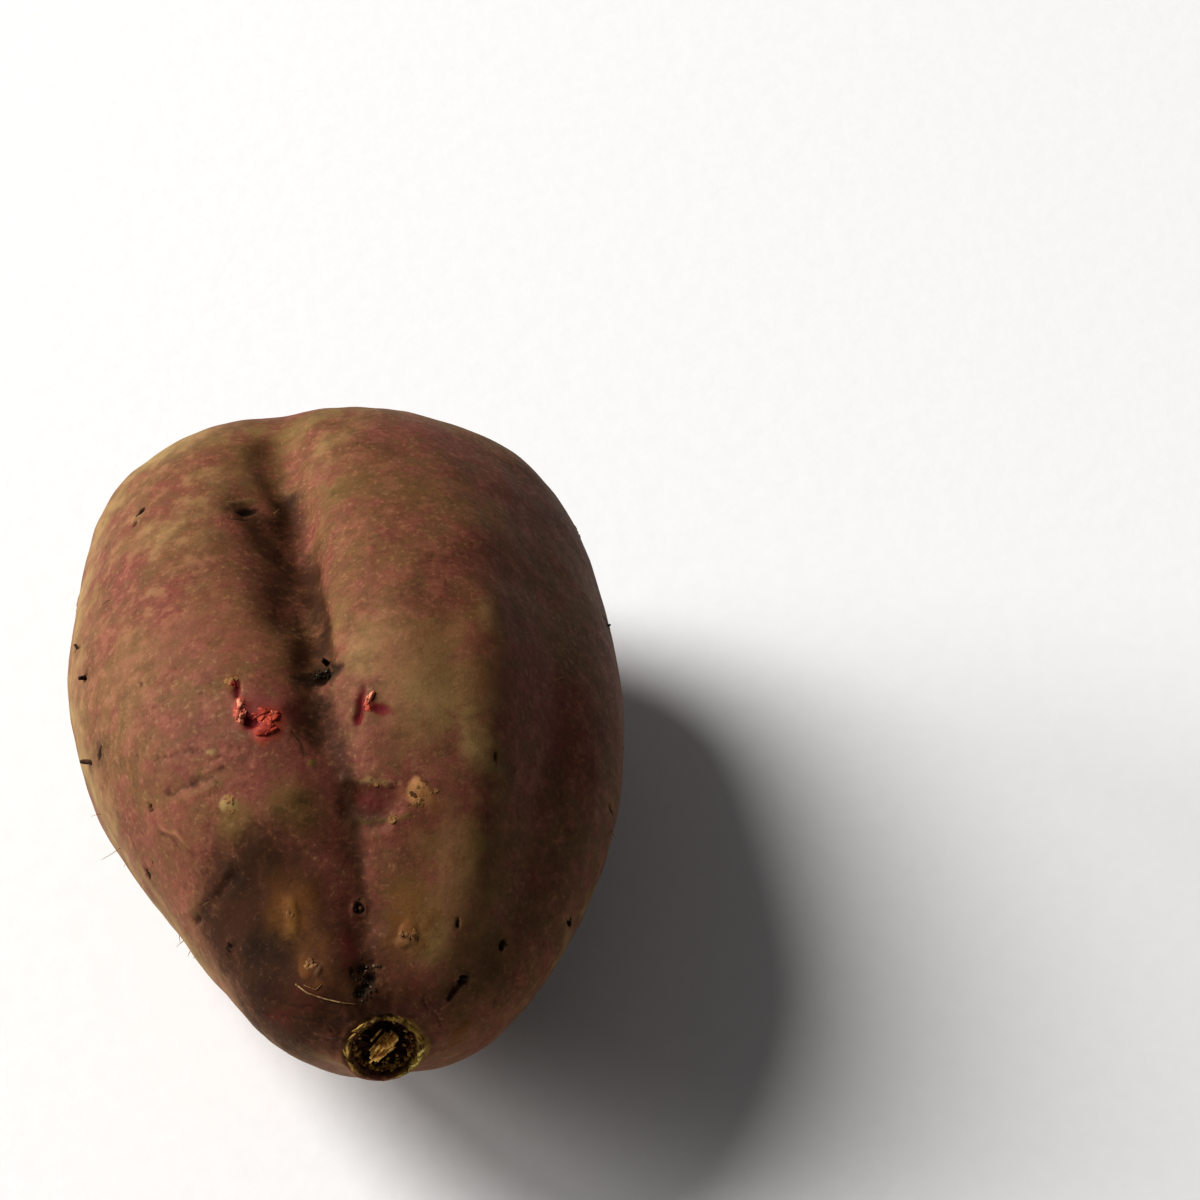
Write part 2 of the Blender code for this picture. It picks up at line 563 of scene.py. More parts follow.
@dataclass(frozen=True)
class PhotoView:
    """The photograph's camera: where it stands, and its line of sight through each pixel."""

    frame_side: float = 1200.0  # pixels
    middle_pixel: Pixel = (350.0, 717.0)  # where the middle of the solid's box shows
    focal_length: float = 3968.0  # pixels
    azimuth: float = math.radians(-5.0)
    elevation: float = math.radians(50.0)
    distance: float = 0.62  # from the middle of the solid's box
    sensor: float = 36.0  # millimetres, as Blender states it
    clip_start: float = 0.01

    def middle(self) -> Vector:
        """The middle of the solid's box."""
        return (CAD_BOX[0] + CAD_BOX[1]) / 2

    def back(self) -> Vector:
        """The direction from the object to the camera."""
        level = math.cos(self.elevation)
        return Vector(
            (math.sin(self.azimuth) * level, -math.cos(self.azimuth) * level, math.sin(self.elevation))
        )

    def location(self) -> Vector:
        """Where the camera stands."""
        return self.middle() + self.back() * self.distance

    def through(self, pixel: Pixel) -> Vector:
        """The line of sight through a pixel, in the camera's own axes."""
        half = self.frame_side / 2
        return Vector((pixel[0] - half, half - pixel[1], -self.focal_length)).normalized()

    def turn(self) -> Quaternion:
        """How the camera is turned: level towards the middle, then aside until that shows at its pixel."""
        level = (-self.back()).to_track_quat("-Z", "Y")
        aside = self.through(self.middle_pixel).rotation_difference(Vector((0.0, 0.0, -1.0)))
        return level @ aside

    def sight(self, pixel: Pixel) -> Vector:
        """The line of sight through a pixel, in the frame of the object."""
        return self.turn() @ self.through(pixel)

    def camera(self) -> bpy.types.Object:
        """Places the camera.

        Returns:
            The camera, which is the scene's own.
        """
        data = bpy.data.cameras.new("photo_camera")
        data.sensor_width = self.sensor
        data.lens = self.focal_length * self.sensor / self.frame_side
        data.clip_start = self.clip_start
        camera = bpy.data.objects.new("photo_camera", data)
        camera.location = self.location()
        camera.rotation_mode = "QUATERNION"
        camera.rotation_quaternion = self.turn()
        bpy.context.scene.collection.objects.link(camera)
        bpy.context.scene.camera = camera
        return camera


@dataclass(frozen=True)
class Seat:
    """A place on the skin with its own axes: right and up along the skin, and out of it."""

    place: Vector
    out: Vector
    up: Vector

    @property
    def right(self) -> Vector:
        """The third axis, to the right when one looks at the skin with up upwards."""
        return self.up.cross(self.out)

    def axes(self) -> np.ndarray:
        """Right, up and out as the rows of a matrix."""
        return np.array([self.right, self.up, self.out])

    def turned(self, degrees: float) -> "Seat":
        """The same seat, turned to the left on the skin."""
        return Seat(self.place, self.out, Quaternion(self.out, math.radians(degrees)) @ self.up)

    def at(self, right: float, up: float, out: float = 0.0) -> Vector:
        """The point that lies so far from the seat along each of its axes."""
        return self.place + self.right * right + self.up * up + self.out * out

    def local(self, points: np.ndarray) -> np.ndarray:
        """Points measured along the seat's own axes, one a row."""
        return (points - np.array(self.place)) @ self.axes().T


class Surface:
    """A mesh to seat things on."""

    inward = np.linspace(0.0, 0.2, 41)  # shares of the way from a pixel to the middle of the root
    outside = 0.2  # a distance that clears the root
    tailwards = Vector((0.0, 1.0, 0.0))

    def __init__(self, mesh: bpy.types.Mesh, view: PhotoView) -> None:
        """Reads the mesh.

        Args:
            mesh: The skin.
            view: The camera whose pixels name places on it.
        """
        corners = [vertex.co.copy() for vertex in mesh.vertices]
        self.tree = BVHTree.FromPolygons(corners, [face.vertices[:] for face in mesh.polygons])
        self.view = view

    def seat(self, place: Vector, out: Vector, rough_up: Vector) -> Seat:
        """A seat whose up axis runs along the skin, as near to rough_up as it can."""
        return Seat(place, out, (rough_up - out * rough_up.dot(out)).normalized())

    def under(self, pixel: Pixel) -> Seat:
        """The seat that the photograph shows at a pixel.

        Args:
            pixel: Its column and row in the photograph. Just outside the outline, the first seat on
                the way to the middle is taken.

        Returns:
            The seat, with the picture's own up.
        """
        for share in self.inward:
            steps = zip(pixel, self.view.middle_pixel)
            aim = tuple(edge + share * (centre - edge) for edge, centre in steps)
            place, out, _, _ = self.tree.ray_cast(self.view.location(), self.view.sight(aim))
            if place is not None:
                return self.seat(place, out, self.view.turn() @ Vector((0.0, 1.0, 0.0)))
        raise ValueError(f"the root doesn't show near pixel {pixel}")

    def round_core(self, forward: float, around: float) -> Seat:
        """The seat that is met from outside on the way to the core line.

        Args:
            forward: How far along the Y axis.
            around: The angle round that axis, in degrees, from the right-hand side over the top.

        Returns:
            The seat, with its up axis towards the tail.
        """
        ray = Vector((math.cos(math.radians(around)), 0.0, math.sin(math.radians(around))))
        core = Vector((0.0, forward, self.view.middle().z))
        place, out, _, _ = self.tree.ray_cast(core + ray * self.outside, -ray)
        if place is None:
            raise ValueError(f"the root doesn't reach to {forward}")
        return self.seat(place, out, self.tailwards)

    def nearest(self, point: Vector) -> Seat:
        """The seat nearest to a point, with its up axis towards the tail."""
        place, out, _, _ = self.tree.find_nearest(point)
        tilted = self.tailwards + Vector((0.0, 0.0, 0.001))  # so that it never equals the way out
        return self.seat(place, out, tilted)


@dataclass(frozen=True)
class Mark:
    """An oval mark in the skin: a stain, a patch of painted shade or highlight, a pit, a wart or all of
    them, at a pixel of the photograph.
    """

    pixel: Pixel
    half: tuple[float, float]  # half its width and half its height along the skin
    stain: Stain
    strength: float = 1.0
    turn: float = 0.0  # degrees to the left
    depth: float = 0.0  # negative where it stands out
    lip: float = 0.0  # height of the raised edge round it
    ragged: float = 0.35  # how far its edge strays, as a share of its size
    soft: float = 0.45  # how far its colour fades on either side of its edge, likewise

    @property
    def seed(self) -> int:
        """Names the raggedness of its edge, so that marks at different pixels differ."""
        return int(self.pixel[0] * 7 + self.pixel[1]) % 997


@dataclass(frozen=True)
class Trail:
    """A mark that runs through pixels of the photograph: a crack, a crease or a band of colour."""

    pixels: tuple[Pixel, ...]
    width: float = 0.00022  # half of it
    depth: float = 0.00016
    stain: Stain = Stain.UMBER
    strength: float = 0.8
    lip: float = 0.7  # height of its raised edges, as a share of its depth


# Wide stains, painted shade and painted highlights, without any relief.
PATCHES = (
    # Rose skin.
    Mark((205, 640), (0.0150, 0.0105), Stain.ROSE, 0.50, 8.0, soft=0.95),
    Mark((165, 752), (0.0100, 0.0125), Stain.ROSE, 0.42, 20.0, soft=0.95),
    Mark((196, 856), (0.0090, 0.0082), Stain.ROSE, 0.55, 20.0, soft=0.95),
    Mark((362, 590), (0.0060, 0.0150), Stain.ROSE, 0.36, 10.0, soft=0.95),
    Mark((392, 700), (0.0064, 0.0120), Stain.ROSE, 0.40, 4.0, soft=0.95),
    Mark((450, 860), (0.0052, 0.0180), Stain.ROSE, 0.52, 4.0, soft=0.95),
    Mark((334, 905), (0.0036, 0.0095), Stain.ROSE, 0.55, 12.0, soft=0.95),
    Mark((400, 985), (0.0070, 0.0060), Stain.ROSE, 0.55, 0.0, soft=0.95),
    Mark((235, 960), (0.0085, 0.0075), Stain.ROSE, 0.40, -30.0, soft=0.95),
    # Olive and tan weathering on the crests and in the hollows.
    Mark((450, 660), (0.0066, 0.0100), Stain.OLIVE, 0.42, 8.0, soft=0.95),
    Mark((434, 694), (0.0084, 0.0096), Stain.TAN, 0.62, 20.0, ragged=0.6, soft=0.95),
    Mark((472, 746), (0.0040, 0.0070), Stain.TAN, 0.66, 8.0, soft=0.95),
    Mark((460, 866), (0.0050, 0.0090), Stain.TAN, 0.66, 4.0, soft=0.95),
    Mark((434, 944), (0.0056, 0.0074), Stain.TAN, 0.62, 0.0, soft=0.95),
    Mark((418, 748), (0.0060, 0.0070), Stain.TAN, 0.34, 4.0, soft=0.95),
    Mark((422, 760), (0.0050, 0.0070), Stain.OLIVE, 0.26, 8.0, soft=0.95),
    Mark((330, 640), (0.0026, 0.0070), Stain.TAN, 0.42, 10.0, soft=0.95),
    Mark((322, 500), (0.0046, 0.0100), Stain.TAN, 0.36, 14.0, soft=0.95),
    Mark((215, 600), (0.0090, 0.0060), Stain.OLIVE, 0.26, 10.0, soft=0.95),
    Mark((296, 812), (0.0044, 0.0066), Stain.OLIVE, 0.66, 14.0, soft=0.9),
    Mark((298, 806), (0.0022, 0.0034), Stain.TAN, 0.36, 14.0, soft=0.9),
    Mark((290, 911), (0.0050, 0.0046), Stain.RUST, 0.78, 10.0, soft=0.9),
    Mark((312, 952), (0.0034, 0.0054), Stain.RUST, 0.56, 16.0, soft=0.9),
    Mark((405, 912), (0.0032, 0.0064), Stain.RUST, 0.56, 6.0, soft=0.9),
    Mark((407, 890), (0.0038, 0.0050), Stain.OLIVE, 0.66, 10.0, soft=0.9),
    Mark((430, 840), (0.0040, 0.0060), Stain.OLIVE, 0.50, 10.0, soft=0.9),
    Mark((236, 828), (0.0028, 0.0044), Stain.OLIVE, 0.66, 0.0, soft=0.9),
    Mark((268, 946), (0.0064, 0.0066), Stain.OLIVE, 0.44, 0.0, soft=0.9),
    Mark((250, 500), (0.0090, 0.0060), Stain.OLIVE, 0.30, 10.0, soft=0.95),
    # Dark brown patches. The first two are painted shade on the left lobe's slope down into the groove.
    Mark((268, 560), (0.0060, 0.0100), Stain.UMBER, 0.66, 12.0, soft=0.95),
    Mark((256, 470), (0.0040, 0.0070), Stain.UMBER, 0.30, 10.0, soft=0.95),
    Mark((250, 866), (0.0088, 0.0060), Stain.UMBER, 1.00, 24.0, soft=0.9),
    Mark((247, 864), (0.0050, 0.0030), Stain.SOOT, 0.40, 24.0, ragged=0.8, soft=0.9),
    # Darker towards the lower left: in part painted shade.
    Mark((192, 866), (0.0110, 0.0090), Stain.UMBER, 0.44, 24.0, soft=0.95),
    Mark((160, 770), (0.0090, 0.0080), Stain.UMBER, 0.22, 24.0, soft=0.95),
    Mark((250, 946), (0.0110, 0.0116), Stain.UMBER, 1.24, 0.0, soft=0.9),
    Mark((258, 944), (0.0062, 0.0056), Stain.SOOT, 0.56, 10.0, ragged=0.8, soft=0.95),
    Mark((330, 500), (0.0090, 0.0110), Stain.UMBER, 0.30, 14.0, soft=0.95),
    # The next four, paler tan on the lit upper left, are a painted highlight.
    Mark((140, 640), (0.0120, 0.0150), Stain.TAN, 0.34, 8.0, soft=0.95),
    Mark((200, 470), (0.0110, 0.0060), Stain.TAN, 0.34, 8.0, soft=0.95),
    Mark((150, 530), (0.0110, 0.0120), Stain.TAN, 0.38, 8.0, soft=0.95),
    Mark((316, 448), (0.0080, 0.0070), Stain.TAN, 0.34, 8.0, soft=0.95),
    Mark((344, 490), (0.0090, 0.0110), Stain.OLIVE, 0.46, 8.0, soft=0.95),
    Mark((222, 906), (0.0066, 0.0070), Stain.UMBER, 0.84, 40.0, soft=0.9),
    Mark((206, 914), (0.0022, 0.0012), Stain.SOOT, 0.55, 34.0, soft=0.9),
    Mark((286, 1006), (0.0090, 0.0050), Stain.CRIMSON, 0.32, 14.0, soft=0.9),
    Mark((345, 948), (0.0018, 0.0034), Stain.CRIMSON, 0.42, 10.0, soft=0.9),
    Mark((288, 1000), (0.0140, 0.0084), Stain.UMBER, 1.16, 14.0, soft=0.9),
    Mark((316, 940), (0.0040, 0.0090), Stain.UMBER, 0.56, 0.0, soft=0.9),
    Mark((392, 868), (0.0056, 0.0072), Stain.UMBER, 0.44, 10.0, soft=0.9),
    Mark((362, 925), (0.0030, 0.0080), Stain.UMBER, 0.50, 4.0, soft=0.9),
    Mark((308, 712), (0.0040, 0.0050), Stain.UMBER, 0.84, 0.0, soft=0.9),
    Mark((319, 708), (0.0024, 0.0050), Stain.SOOT, 0.54, 4.0, soft=0.9),
    Mark((300, 704), (0.0034, 0.0034), Stain.CRIMSON, 0.30, 0.0, soft=0.9),
    # A mild painted shadow on the ridge at the upper right.
    Mark((400, 560), (0.0070, 0.0110), Stain.UMBER, 0.30, 10.0, soft=0.95),
)

# Marks with relief of their own. The mesh is split once more round each.
BLEMISHES = (
    # The hole in the groove.
    Mark((322, 672), (0.0022, 0.0030), Stain.UMBER, 0.95, 0.0, depth=0.0006, soft=0.8),
    Mark((316, 678), (0.0028, 0.0020), Stain.SOOT, 0.86, 0.0, ragged=0.5, soft=0.7),
    Mark((325, 672), (0.0016, 0.0016), Stain.SOOT, 0.9, 20.0, depth=0.0012, lip=0.00025),
    # The eye scars where single rootlets broke off.
    Mark((237, 516), (0.0023, 0.0004), Stain.SOOT, 0.8, 4.0, depth=0.0004, lip=0.00014),
    Mark((248, 509), (0.0018, 0.0007), Stain.SOOT, 0.9, 12.0, depth=0.0006, lip=0.00018),
    Mark((242, 500), (0.0030, 0.0007), Stain.TAN, 0.5, 12.0, depth=-0.0003),
    Mark((137, 518), (0.0012, 0.0014), Stain.TAN, 0.6, -20.0, depth=-0.0002, ragged=0.6),
    Mark((140, 512), (0.0006, 0.0010), Stain.SOOT, 1.0, -20.0, depth=0.0005, soft=0.3),
    Mark((135, 524), (0.0005, 0.0007), Stain.UMBER, 1.0, 0.0, depth=0.0003, soft=0.3),
    Mark((86, 676), (0.0005, 0.0009), Stain.SOOT, 0.9, 0.0, depth=0.0006, lip=0.00015),
    Mark((141, 683), (0.0003, 0.0005), Stain.UMBER, 0.7, 0.0, depth=0.0002),
    Mark((151, 808), (0.0005, 0.0009), Stain.SOOT, 0.8, 10.0, depth=0.0006, lip=0.00022),
    Mark((152, 818), (0.0013, 0.0012), Stain.ROSE, 0.6, 10.0, depth=-0.00018),
    Mark((152, 863), (0.0003, 0.0006), Stain.SOOT, 0.8, 0.0, depth=0.0004),
    Mark((307, 590), (0.0006, 0.0004), Stain.UMBER, 0.9, 30.0, depth=0.0003, lip=0.00010),
    Mark((198, 920), (0.0010, 0.0005), Stain.UMBER, 0.9, 34.0, depth=0.0004, lip=0.00012),
    Mark((359, 908), (0.0008, 0.0009), Stain.SOOT, 0.9, 0.0, depth=0.0006, lip=0.00015),
    Mark((365, 980), (0.0019, 0.0040), Stain.UMBER, 0.95, 0.0, depth=0.0003, soft=0.8),
    Mark((363, 970), (0.0010, 0.0013), Stain.SOOT, 0.62, 10.0, depth=0.0004, ragged=0.7, soft=0.8),
    Mark((367, 986), (0.0010, 0.0016), Stain.SOOT, 0.70, -20.0, depth=0.0005, ragged=0.7, soft=0.8),
    Mark((361, 994), (0.0009, 0.0010), Stain.SOOT, 0.62, 0.0, depth=0.0004, ragged=0.7, soft=0.8),
    Mark((456, 987), (0.0013, 0.0030), Stain.UMBER, 0.60, -26.0, soft=0.8),
    Mark((461, 979), (0.0008, 0.0008), Stain.SOOT, 0.85, 0.0, depth=0.0006, lip=0.00018),
    Mark((452, 992), (0.0005, 0.0016), Stain.UMBER, 0.95, -28.0, depth=0.0004, lip=0.00012),
    Mark((457, 923), (0.0003, 0.0009), Stain.SOOT, 0.9, 0.0, depth=0.0004),
    Mark((501, 946), (0.0006, 0.0009), Stain.SOOT, 0.8, -10.0, depth=0.0004, lip=0.00012),
    Mark((494, 757), (0.0004, 0.0008), Stain.SOOT, 0.8, 0.0, depth=0.0003),
    Mark((234, 1010), (0.0005, 0.0004), Stain.SOOT, 0.9, 0.0, depth=0.0003),
    Mark((312, 762), (0.0007, 0.0007), Stain.OLIVE, 0.8, 0.0, depth=-0.0002),
    Mark((211, 752), (0.0013, 0.0006), Stain.TAN, 0.7, -6.0, depth=-0.0002),
    Mark((220, 756), (0.0008, 0.0003), Stain.UMBER, 0.7, -10.0, depth=0.0002),
    Mark((229, 805), (0.0018, 0.0013), Stain.TAN, 0.8, 6.0, depth=-0.00028),
    # Warts and spots where the skin has split and healed.
    Mark((292, 914), (0.0016, 0.0026), Stain.CORK, 0.58, 6.0, depth=-0.0003, ragged=0.6, soft=0.9),
    Mark((309, 964), (0.0014, 0.0018), Stain.RUST, 0.76, 0.0, depth=-0.0001, ragged=0.6, soft=0.8),
    Mark((405, 933), (0.0014, 0.0020), Stain.AMBER, 0.50, 10.0, depth=-0.0003, ragged=0.7, soft=0.9),
    Mark((420, 795), (0.0019, 0.0021), Stain.AMBER, 0.90, 0.0, depth=-0.0002, ragged=0.6, soft=0.7),
    Mark((421, 797), (0.0028, 0.0030), Stain.RUST, 0.60, 0.0, ragged=0.6, soft=0.9),
    Mark((462, 1029), (0.0014, 0.0032), Stain.RUST, 0.90, -14.0, depth=-0.0002, ragged=0.6, soft=0.8),
    Mark((319, 971), (0.0010, 0.0005), Stain.TAN, 0.8, 60.0, depth=-0.0002),
    # The scab: a sunken purple-brown oval with a pale edge above and an olive one below.
    Mark((371, 800), (0.0056, 0.0036), Stain.UMBER, 0.72, 4.0, depth=0.0004, lip=0.0002, soft=0.8),
    Mark((376, 798), (0.0036, 0.0020), Stain.CRIMSON, 0.50, 4.0, soft=0.8),
    # The left sore.
    Mark((262, 708), (0.0048, 0.0038), Stain.ROSE, 0.80, -10.0, soft=0.95),
    Mark((256, 712), (0.0036, 0.0030), Stain.CRIMSON, 0.40, -10.0, soft=0.95),
    Mark((240, 711), (0.0011, 0.0024), Stain.RAW, 0.70, 4.0, depth=-0.0004, ragged=0.3, soft=0.8),
    Mark((268, 721), (0.0024, 0.0026), Stain.RAW, 0.90, 10.0, depth=-0.0004, ragged=0.4, soft=0.9),
    Mark((252, 722), (0.0016, 0.0012), Stain.CRIMSON, 1.0, -20.0, depth=0.0010, ragged=0.4),
    Mark((238, 688), (0.0005, 0.0017), Stain.CRIMSON, 0.9, 0.0, depth=0.0005, ragged=0.6),
    Mark((234, 684), (0.0018, 0.0022), Stain.RUST, 0.80, 0.0, depth=-0.0002, ragged=0.7, soft=0.9),
    # The right sore.
    Mark((366, 706), (0.0036, 0.0036), Stain.CRIMSON, 0.34, 0.0, soft=0.95),
    Mark((360, 708), (0.0009, 0.0034), Stain.CRIMSON, 1.0, 0.0, depth=0.0007, ragged=0.3),
    Mark((367, 701), (0.0011, 0.0014), Stain.RAW, 0.80, 0.0, depth=-0.0003, ragged=0.3, soft=0.8),
    Mark((379, 709), (0.0018, 0.0010), Stain.CRIMSON, 1.0, -16.0, depth=0.0004, ragged=0.3, soft=0.7),
)

# Courses that several bands share.
LEFT_RIM = (
    (190, 428), (146, 444), (112, 494), (86, 572), (72, 652), (76, 735),
    (100, 808), (136, 882), (176, 948), (220, 1006), (276, 1043), (328, 1070),
)
LOW_RIM = ((140, 868), (171, 919), (207, 973), (252, 1016), (302, 1048), (340, 1066))
GROOVE = ((266, 452), (284, 500), (298, 540), (306, 580), (312, 620), (317, 654))
CREST = ((486, 610), (490, 690), (488, 757), (474, 804), (468, 862), (468, 924))

BANDS = (
    # The rims: pale tan weathering, with painted rim light along the left and lower outline and a painted
    # highlight along the top edge.
    Trail(LEFT_RIM, 0.0090, 0.0, Stain.TAN, 0.56, 0.0),
    Trail(LOW_RIM, 0.0024, 0.0, Stain.TAN, 0.62, 0.0),
    Trail(((200, 436), (262, 432), (304, 424), (350, 412)), 0.0060, 0.0, Stain.TAN, 0.40, 0.0),
    # The groove, its lower course and its left wall: dark skin deepened by painted shade, most of it on the
    # left wall, which faces away from the light.
    Trail(GROOVE, 0.0024, 0.0013, Stain.UMBER, 0.44, 0.0),
    Trail(GROOVE[1:], 0.0026, 0.0, Stain.UMBER, 0.90, 0.0),
    Trail(((318, 662), (320, 706), (328, 750), (344, 800)), 0.0026, 0.0004, Stain.UMBER, 0.80, 0.0),
    Trail(((344, 800), (352, 850), (360, 905), (363, 965)), 0.0024, 0.0004, Stain.UMBER, 0.74, 0.0),
    Trail(((252, 506), (268, 535), (280, 570), (292, 616)), 0.0052, 0.0008, Stain.UMBER, 0.84, 0.0),
    Trail(((276, 520), (290, 556), (297, 600), (304, 640)), 0.0034, 0.0, Stain.SOOT, 0.36, 0.0),
    Trail(((288, 612), (300, 650), (308, 700), (318, 740)), 0.0030, 0.0006, Stain.UMBER, 0.80, 0.0),
    # The crest, and the rosy edge of the groove.
    Trail(CREST, 0.0040, -0.0005, Stain.TAN, 0.44, 0.0),
    Trail(((334, 660), (338, 700), (342, 745), (350, 790)), 0.0014, -0.0003, Stain.ROSE, 0.50, 0.0),
)

# Fine cracks and wrinkles. The mesh is split once more along each.
CRACKS = (
    # The fold at the lower left.
    Trail(((194, 923), (206, 908), (222, 892), (238, 872)), 0.0006, 0.0003, Stain.UMBER, 0.9, 0.3),
    Trail(((180, 916), (196, 903), (214, 888), (228, 868)), 0.0008, -0.0002, Stain.AMBER, 0.3, 0.0),
    # Round the left sore.
    Trail(((190, 700), (204, 690), (222, 684))),
    Trail(((291, 731), (300, 741), (307, 754), (317, 758))),
    # The wrinkles of the left flank.
    Trail(((156, 759), (178, 751), (204, 752), (232, 747)), 0.0004, 0.00012, Stain.UMBER, 0.6, 0.9),
    Trail(((160, 767), (182, 760), (206, 760)), 0.0005, -0.00010, Stain.TAN, 0.4, 0.0),
    Trail(((168, 796), (188, 785), (206, 779), (224, 766)), 0.0005, 0.00014, Stain.UMBER, 0.7, 0.9),
    Trail(((176, 804), (196, 793), (214, 786)), 0.0006, -0.00012, Stain.TAN, 0.36, 0.0),
    Trail(((164, 826), (176, 834), (190, 845)), 0.0007, -0.00020, Stain.AMBER, 0.36, 0.0),
    Trail(((160, 833), (174, 842), (184, 852)), 0.0004, 0.00014, Stain.UMBER, 0.7, 0.5),
    Trail(((212, 812), (206, 834), (210, 858)), 0.0004, 0.00012, Stain.UMBER, 0.6, 0.6),
    # Below the upper eye scar.
    Trail(((206, 524), (226, 518), (262, 506), (286, 499)), 0.0002, 0.0001, Stain.UMBER, 0.5),
    # Left of the stem scar.
    Trail(((255, 1008), (285, 1016), (318, 1020), (334, 1030)), 0.0003, 0.00012, lip=0.4),
    Trail(((282, 1003), (310, 1008), (336, 1016)), 0.0003, 0.00010, lip=0.4),
    Trail(((300, 1040), (322, 1038), (338, 1040)), 0.0003, 0.00010, lip=0.4),
    # The edges of the scab and the cracks in it.
    Trail(((340, 780), (356, 779), (378, 781), (394, 783)), 0.0004, -0.00020, Stain.TAN, 0.8, 0.0),
    Trail(((352, 818), (372, 820), (392, 820), (408, 814)), 0.0005, -0.00025, Stain.OLIVE, 0.9, 0.0),
    Trail(((356, 786), (378, 789), (398, 787)), 0.0002, 0.00012),
    Trail(((348, 800), (366, 803), (388, 806)), 0.0002, 0.00012),
    # Right of the stem scar.
    Trail(((424, 1000), (440, 1022), (446, 1048)), 0.0003, 0.00010, lip=0.4),
)


@dataclass(frozen=True)
class Growth:
    """The uneven growth of the root and the weathering of its skin, all over."""

    swell: float = 0.00034  # height of the lumps
    swell_size: float = 0.012  # of the largest of them
    wrinkle: float = 0.00004  # height of the rings round the root
    ring_size: tuple[float, float, float] = (0.0110, 0.0018, 0.0110)
    fine_ring_size: tuple[float, float, float] = (0.0080, 0.0012, 0.0080)
    ring_wander: float = 0.0016
    wander_size: float = 0.009
    strength_size: float = 0.016  # of the places where the rings are stronger
    stretch: float = 0.00006  # height of the faint creases along the root
    crease_size: tuple[float, float, float] = (0.0026, 0.0170, 0.0026)
    tan_share: float = 0.46  # on the underside
    tan_size: float = 0.020
    clouds: tuple[tuple[Stain, float, float, float], ...] = (
        # The stain, its share, the size of its patches, and a shift that makes the patches its own.
        (Stain.OLIVE, 0.40, 0.024, 17.0),
        (Stain.ROSE, 0.42, 0.026, 27.0),
    )

    def on(self, skin: "Skin") -> None:
        """Adds the growth to the skin's relief and the weathering to its stains."""
        points = skin.points
        lumps, rings, creases = Grain(skin.seed), Grain(skin.seed + 1), Grain(skin.seed + 2)
        skin.relief += self.swell * lumps.layers(points, self.swell_size, 3)
        warp = lumps.at(points, self.wander_size)[:, None] * np.array([0.0, self.ring_wander, 0.0])
        strength = 0.6 + 0.6 * lumps.at(points + 5.0, self.strength_size)
        ringed = rings.at(points + warp, self.ring_size)
        ringed += 0.6 * rings.at(points + warp + 2.0, self.fine_ring_size)
        skin.relief += self.wrinkle * strength * ringed
        skin.relief += self.stretch * creases.at(points, self.crease_size)
        weathered = 0.5 + 0.5 * lumps.layers(points + 9.0, self.tan_size, 3)
        skin.blot(Stain.TAN, self.tan_share * weathered * ease(skin.normals[:, 2], 0.50, -0.10))
        for stain, share, size, shift in self.clouds:
            skin.blot(stain, share * ease(lumps.layers(points + shift, size, 3), 0.1, 0.8))


@dataclass(frozen=True)
class HiddenEyes:
    """The eye scars of the sides that the photograph doesn't show, in rows along the root."""

    rows: tuple[float, ...] = (8.0, 172.0, 218.0, 262.0, 312.0)  # degrees from the right over the top
    row_wander: float = 5.0  # degrees
    reach: tuple[float, float] = (0.72, 0.78)  # of the rows, as shares of the box, in front and behind
    spacing: float = 0.019
    spacing_wander: float = 0.0035
    half_width: tuple[float, float] = (0.0008, 0.0021)  # the least and the most, here and below
    half_height: tuple[float, float] = (0.0003, 0.0006)
    depth: tuple[float, float] = (0.0003, 0.0006)
    lip: tuple[float, float] = (0.00010, 0.00022)
    turn: float = 12.0  # degrees
    halo_stains: tuple[Stain, ...] = (Stain.TAN, Stain.ROSE, Stain.UMBER)
    halo_strength: tuple[float, float] = (0.3, 0.6)

    def draw(self, surface: Surface, seed: int) -> list[tuple[Seat, Mark]]:
        """Draws the eyes.

        Args:
            surface: The skin.
            seed: Names the draw.

        Returns:
            The seat and the mark of each eye, and of the stain round it.
        """
        draw = np.random.default_rng(seed)
        low, high = CAD_BOX[0].y * self.reach[0], CAD_BOX[1].y * self.reach[1]
        eyes = []
        for row in self.rows:
            for forward in np.arange(low, high, self.spacing):
                place = forward + draw.normal(0.0, self.spacing_wander)
                seat = surface.round_core(place, row + draw.normal(0.0, self.row_wander))
                half = (draw.uniform(*self.half_width), draw.uniform(*self.half_height))
                depth, lip = draw.uniform(*self.depth), draw.uniform(*self.lip)
                turn = draw.normal(0.0, self.turn)
                eyes.append((seat, Mark((0, 0), half, Stain.SOOT, 0.9, turn, depth, lip)))
                halo = (half[0] * 2.4, half[0] * 1.6)
                stain = Stain(draw.choice([choice.value for choice in self.halo_stains]))
                strength = draw.uniform(*self.halo_strength)
                eyes.append((seat, Mark((0, 0), halo, stain, strength, soft=0.9)))
        return eyes


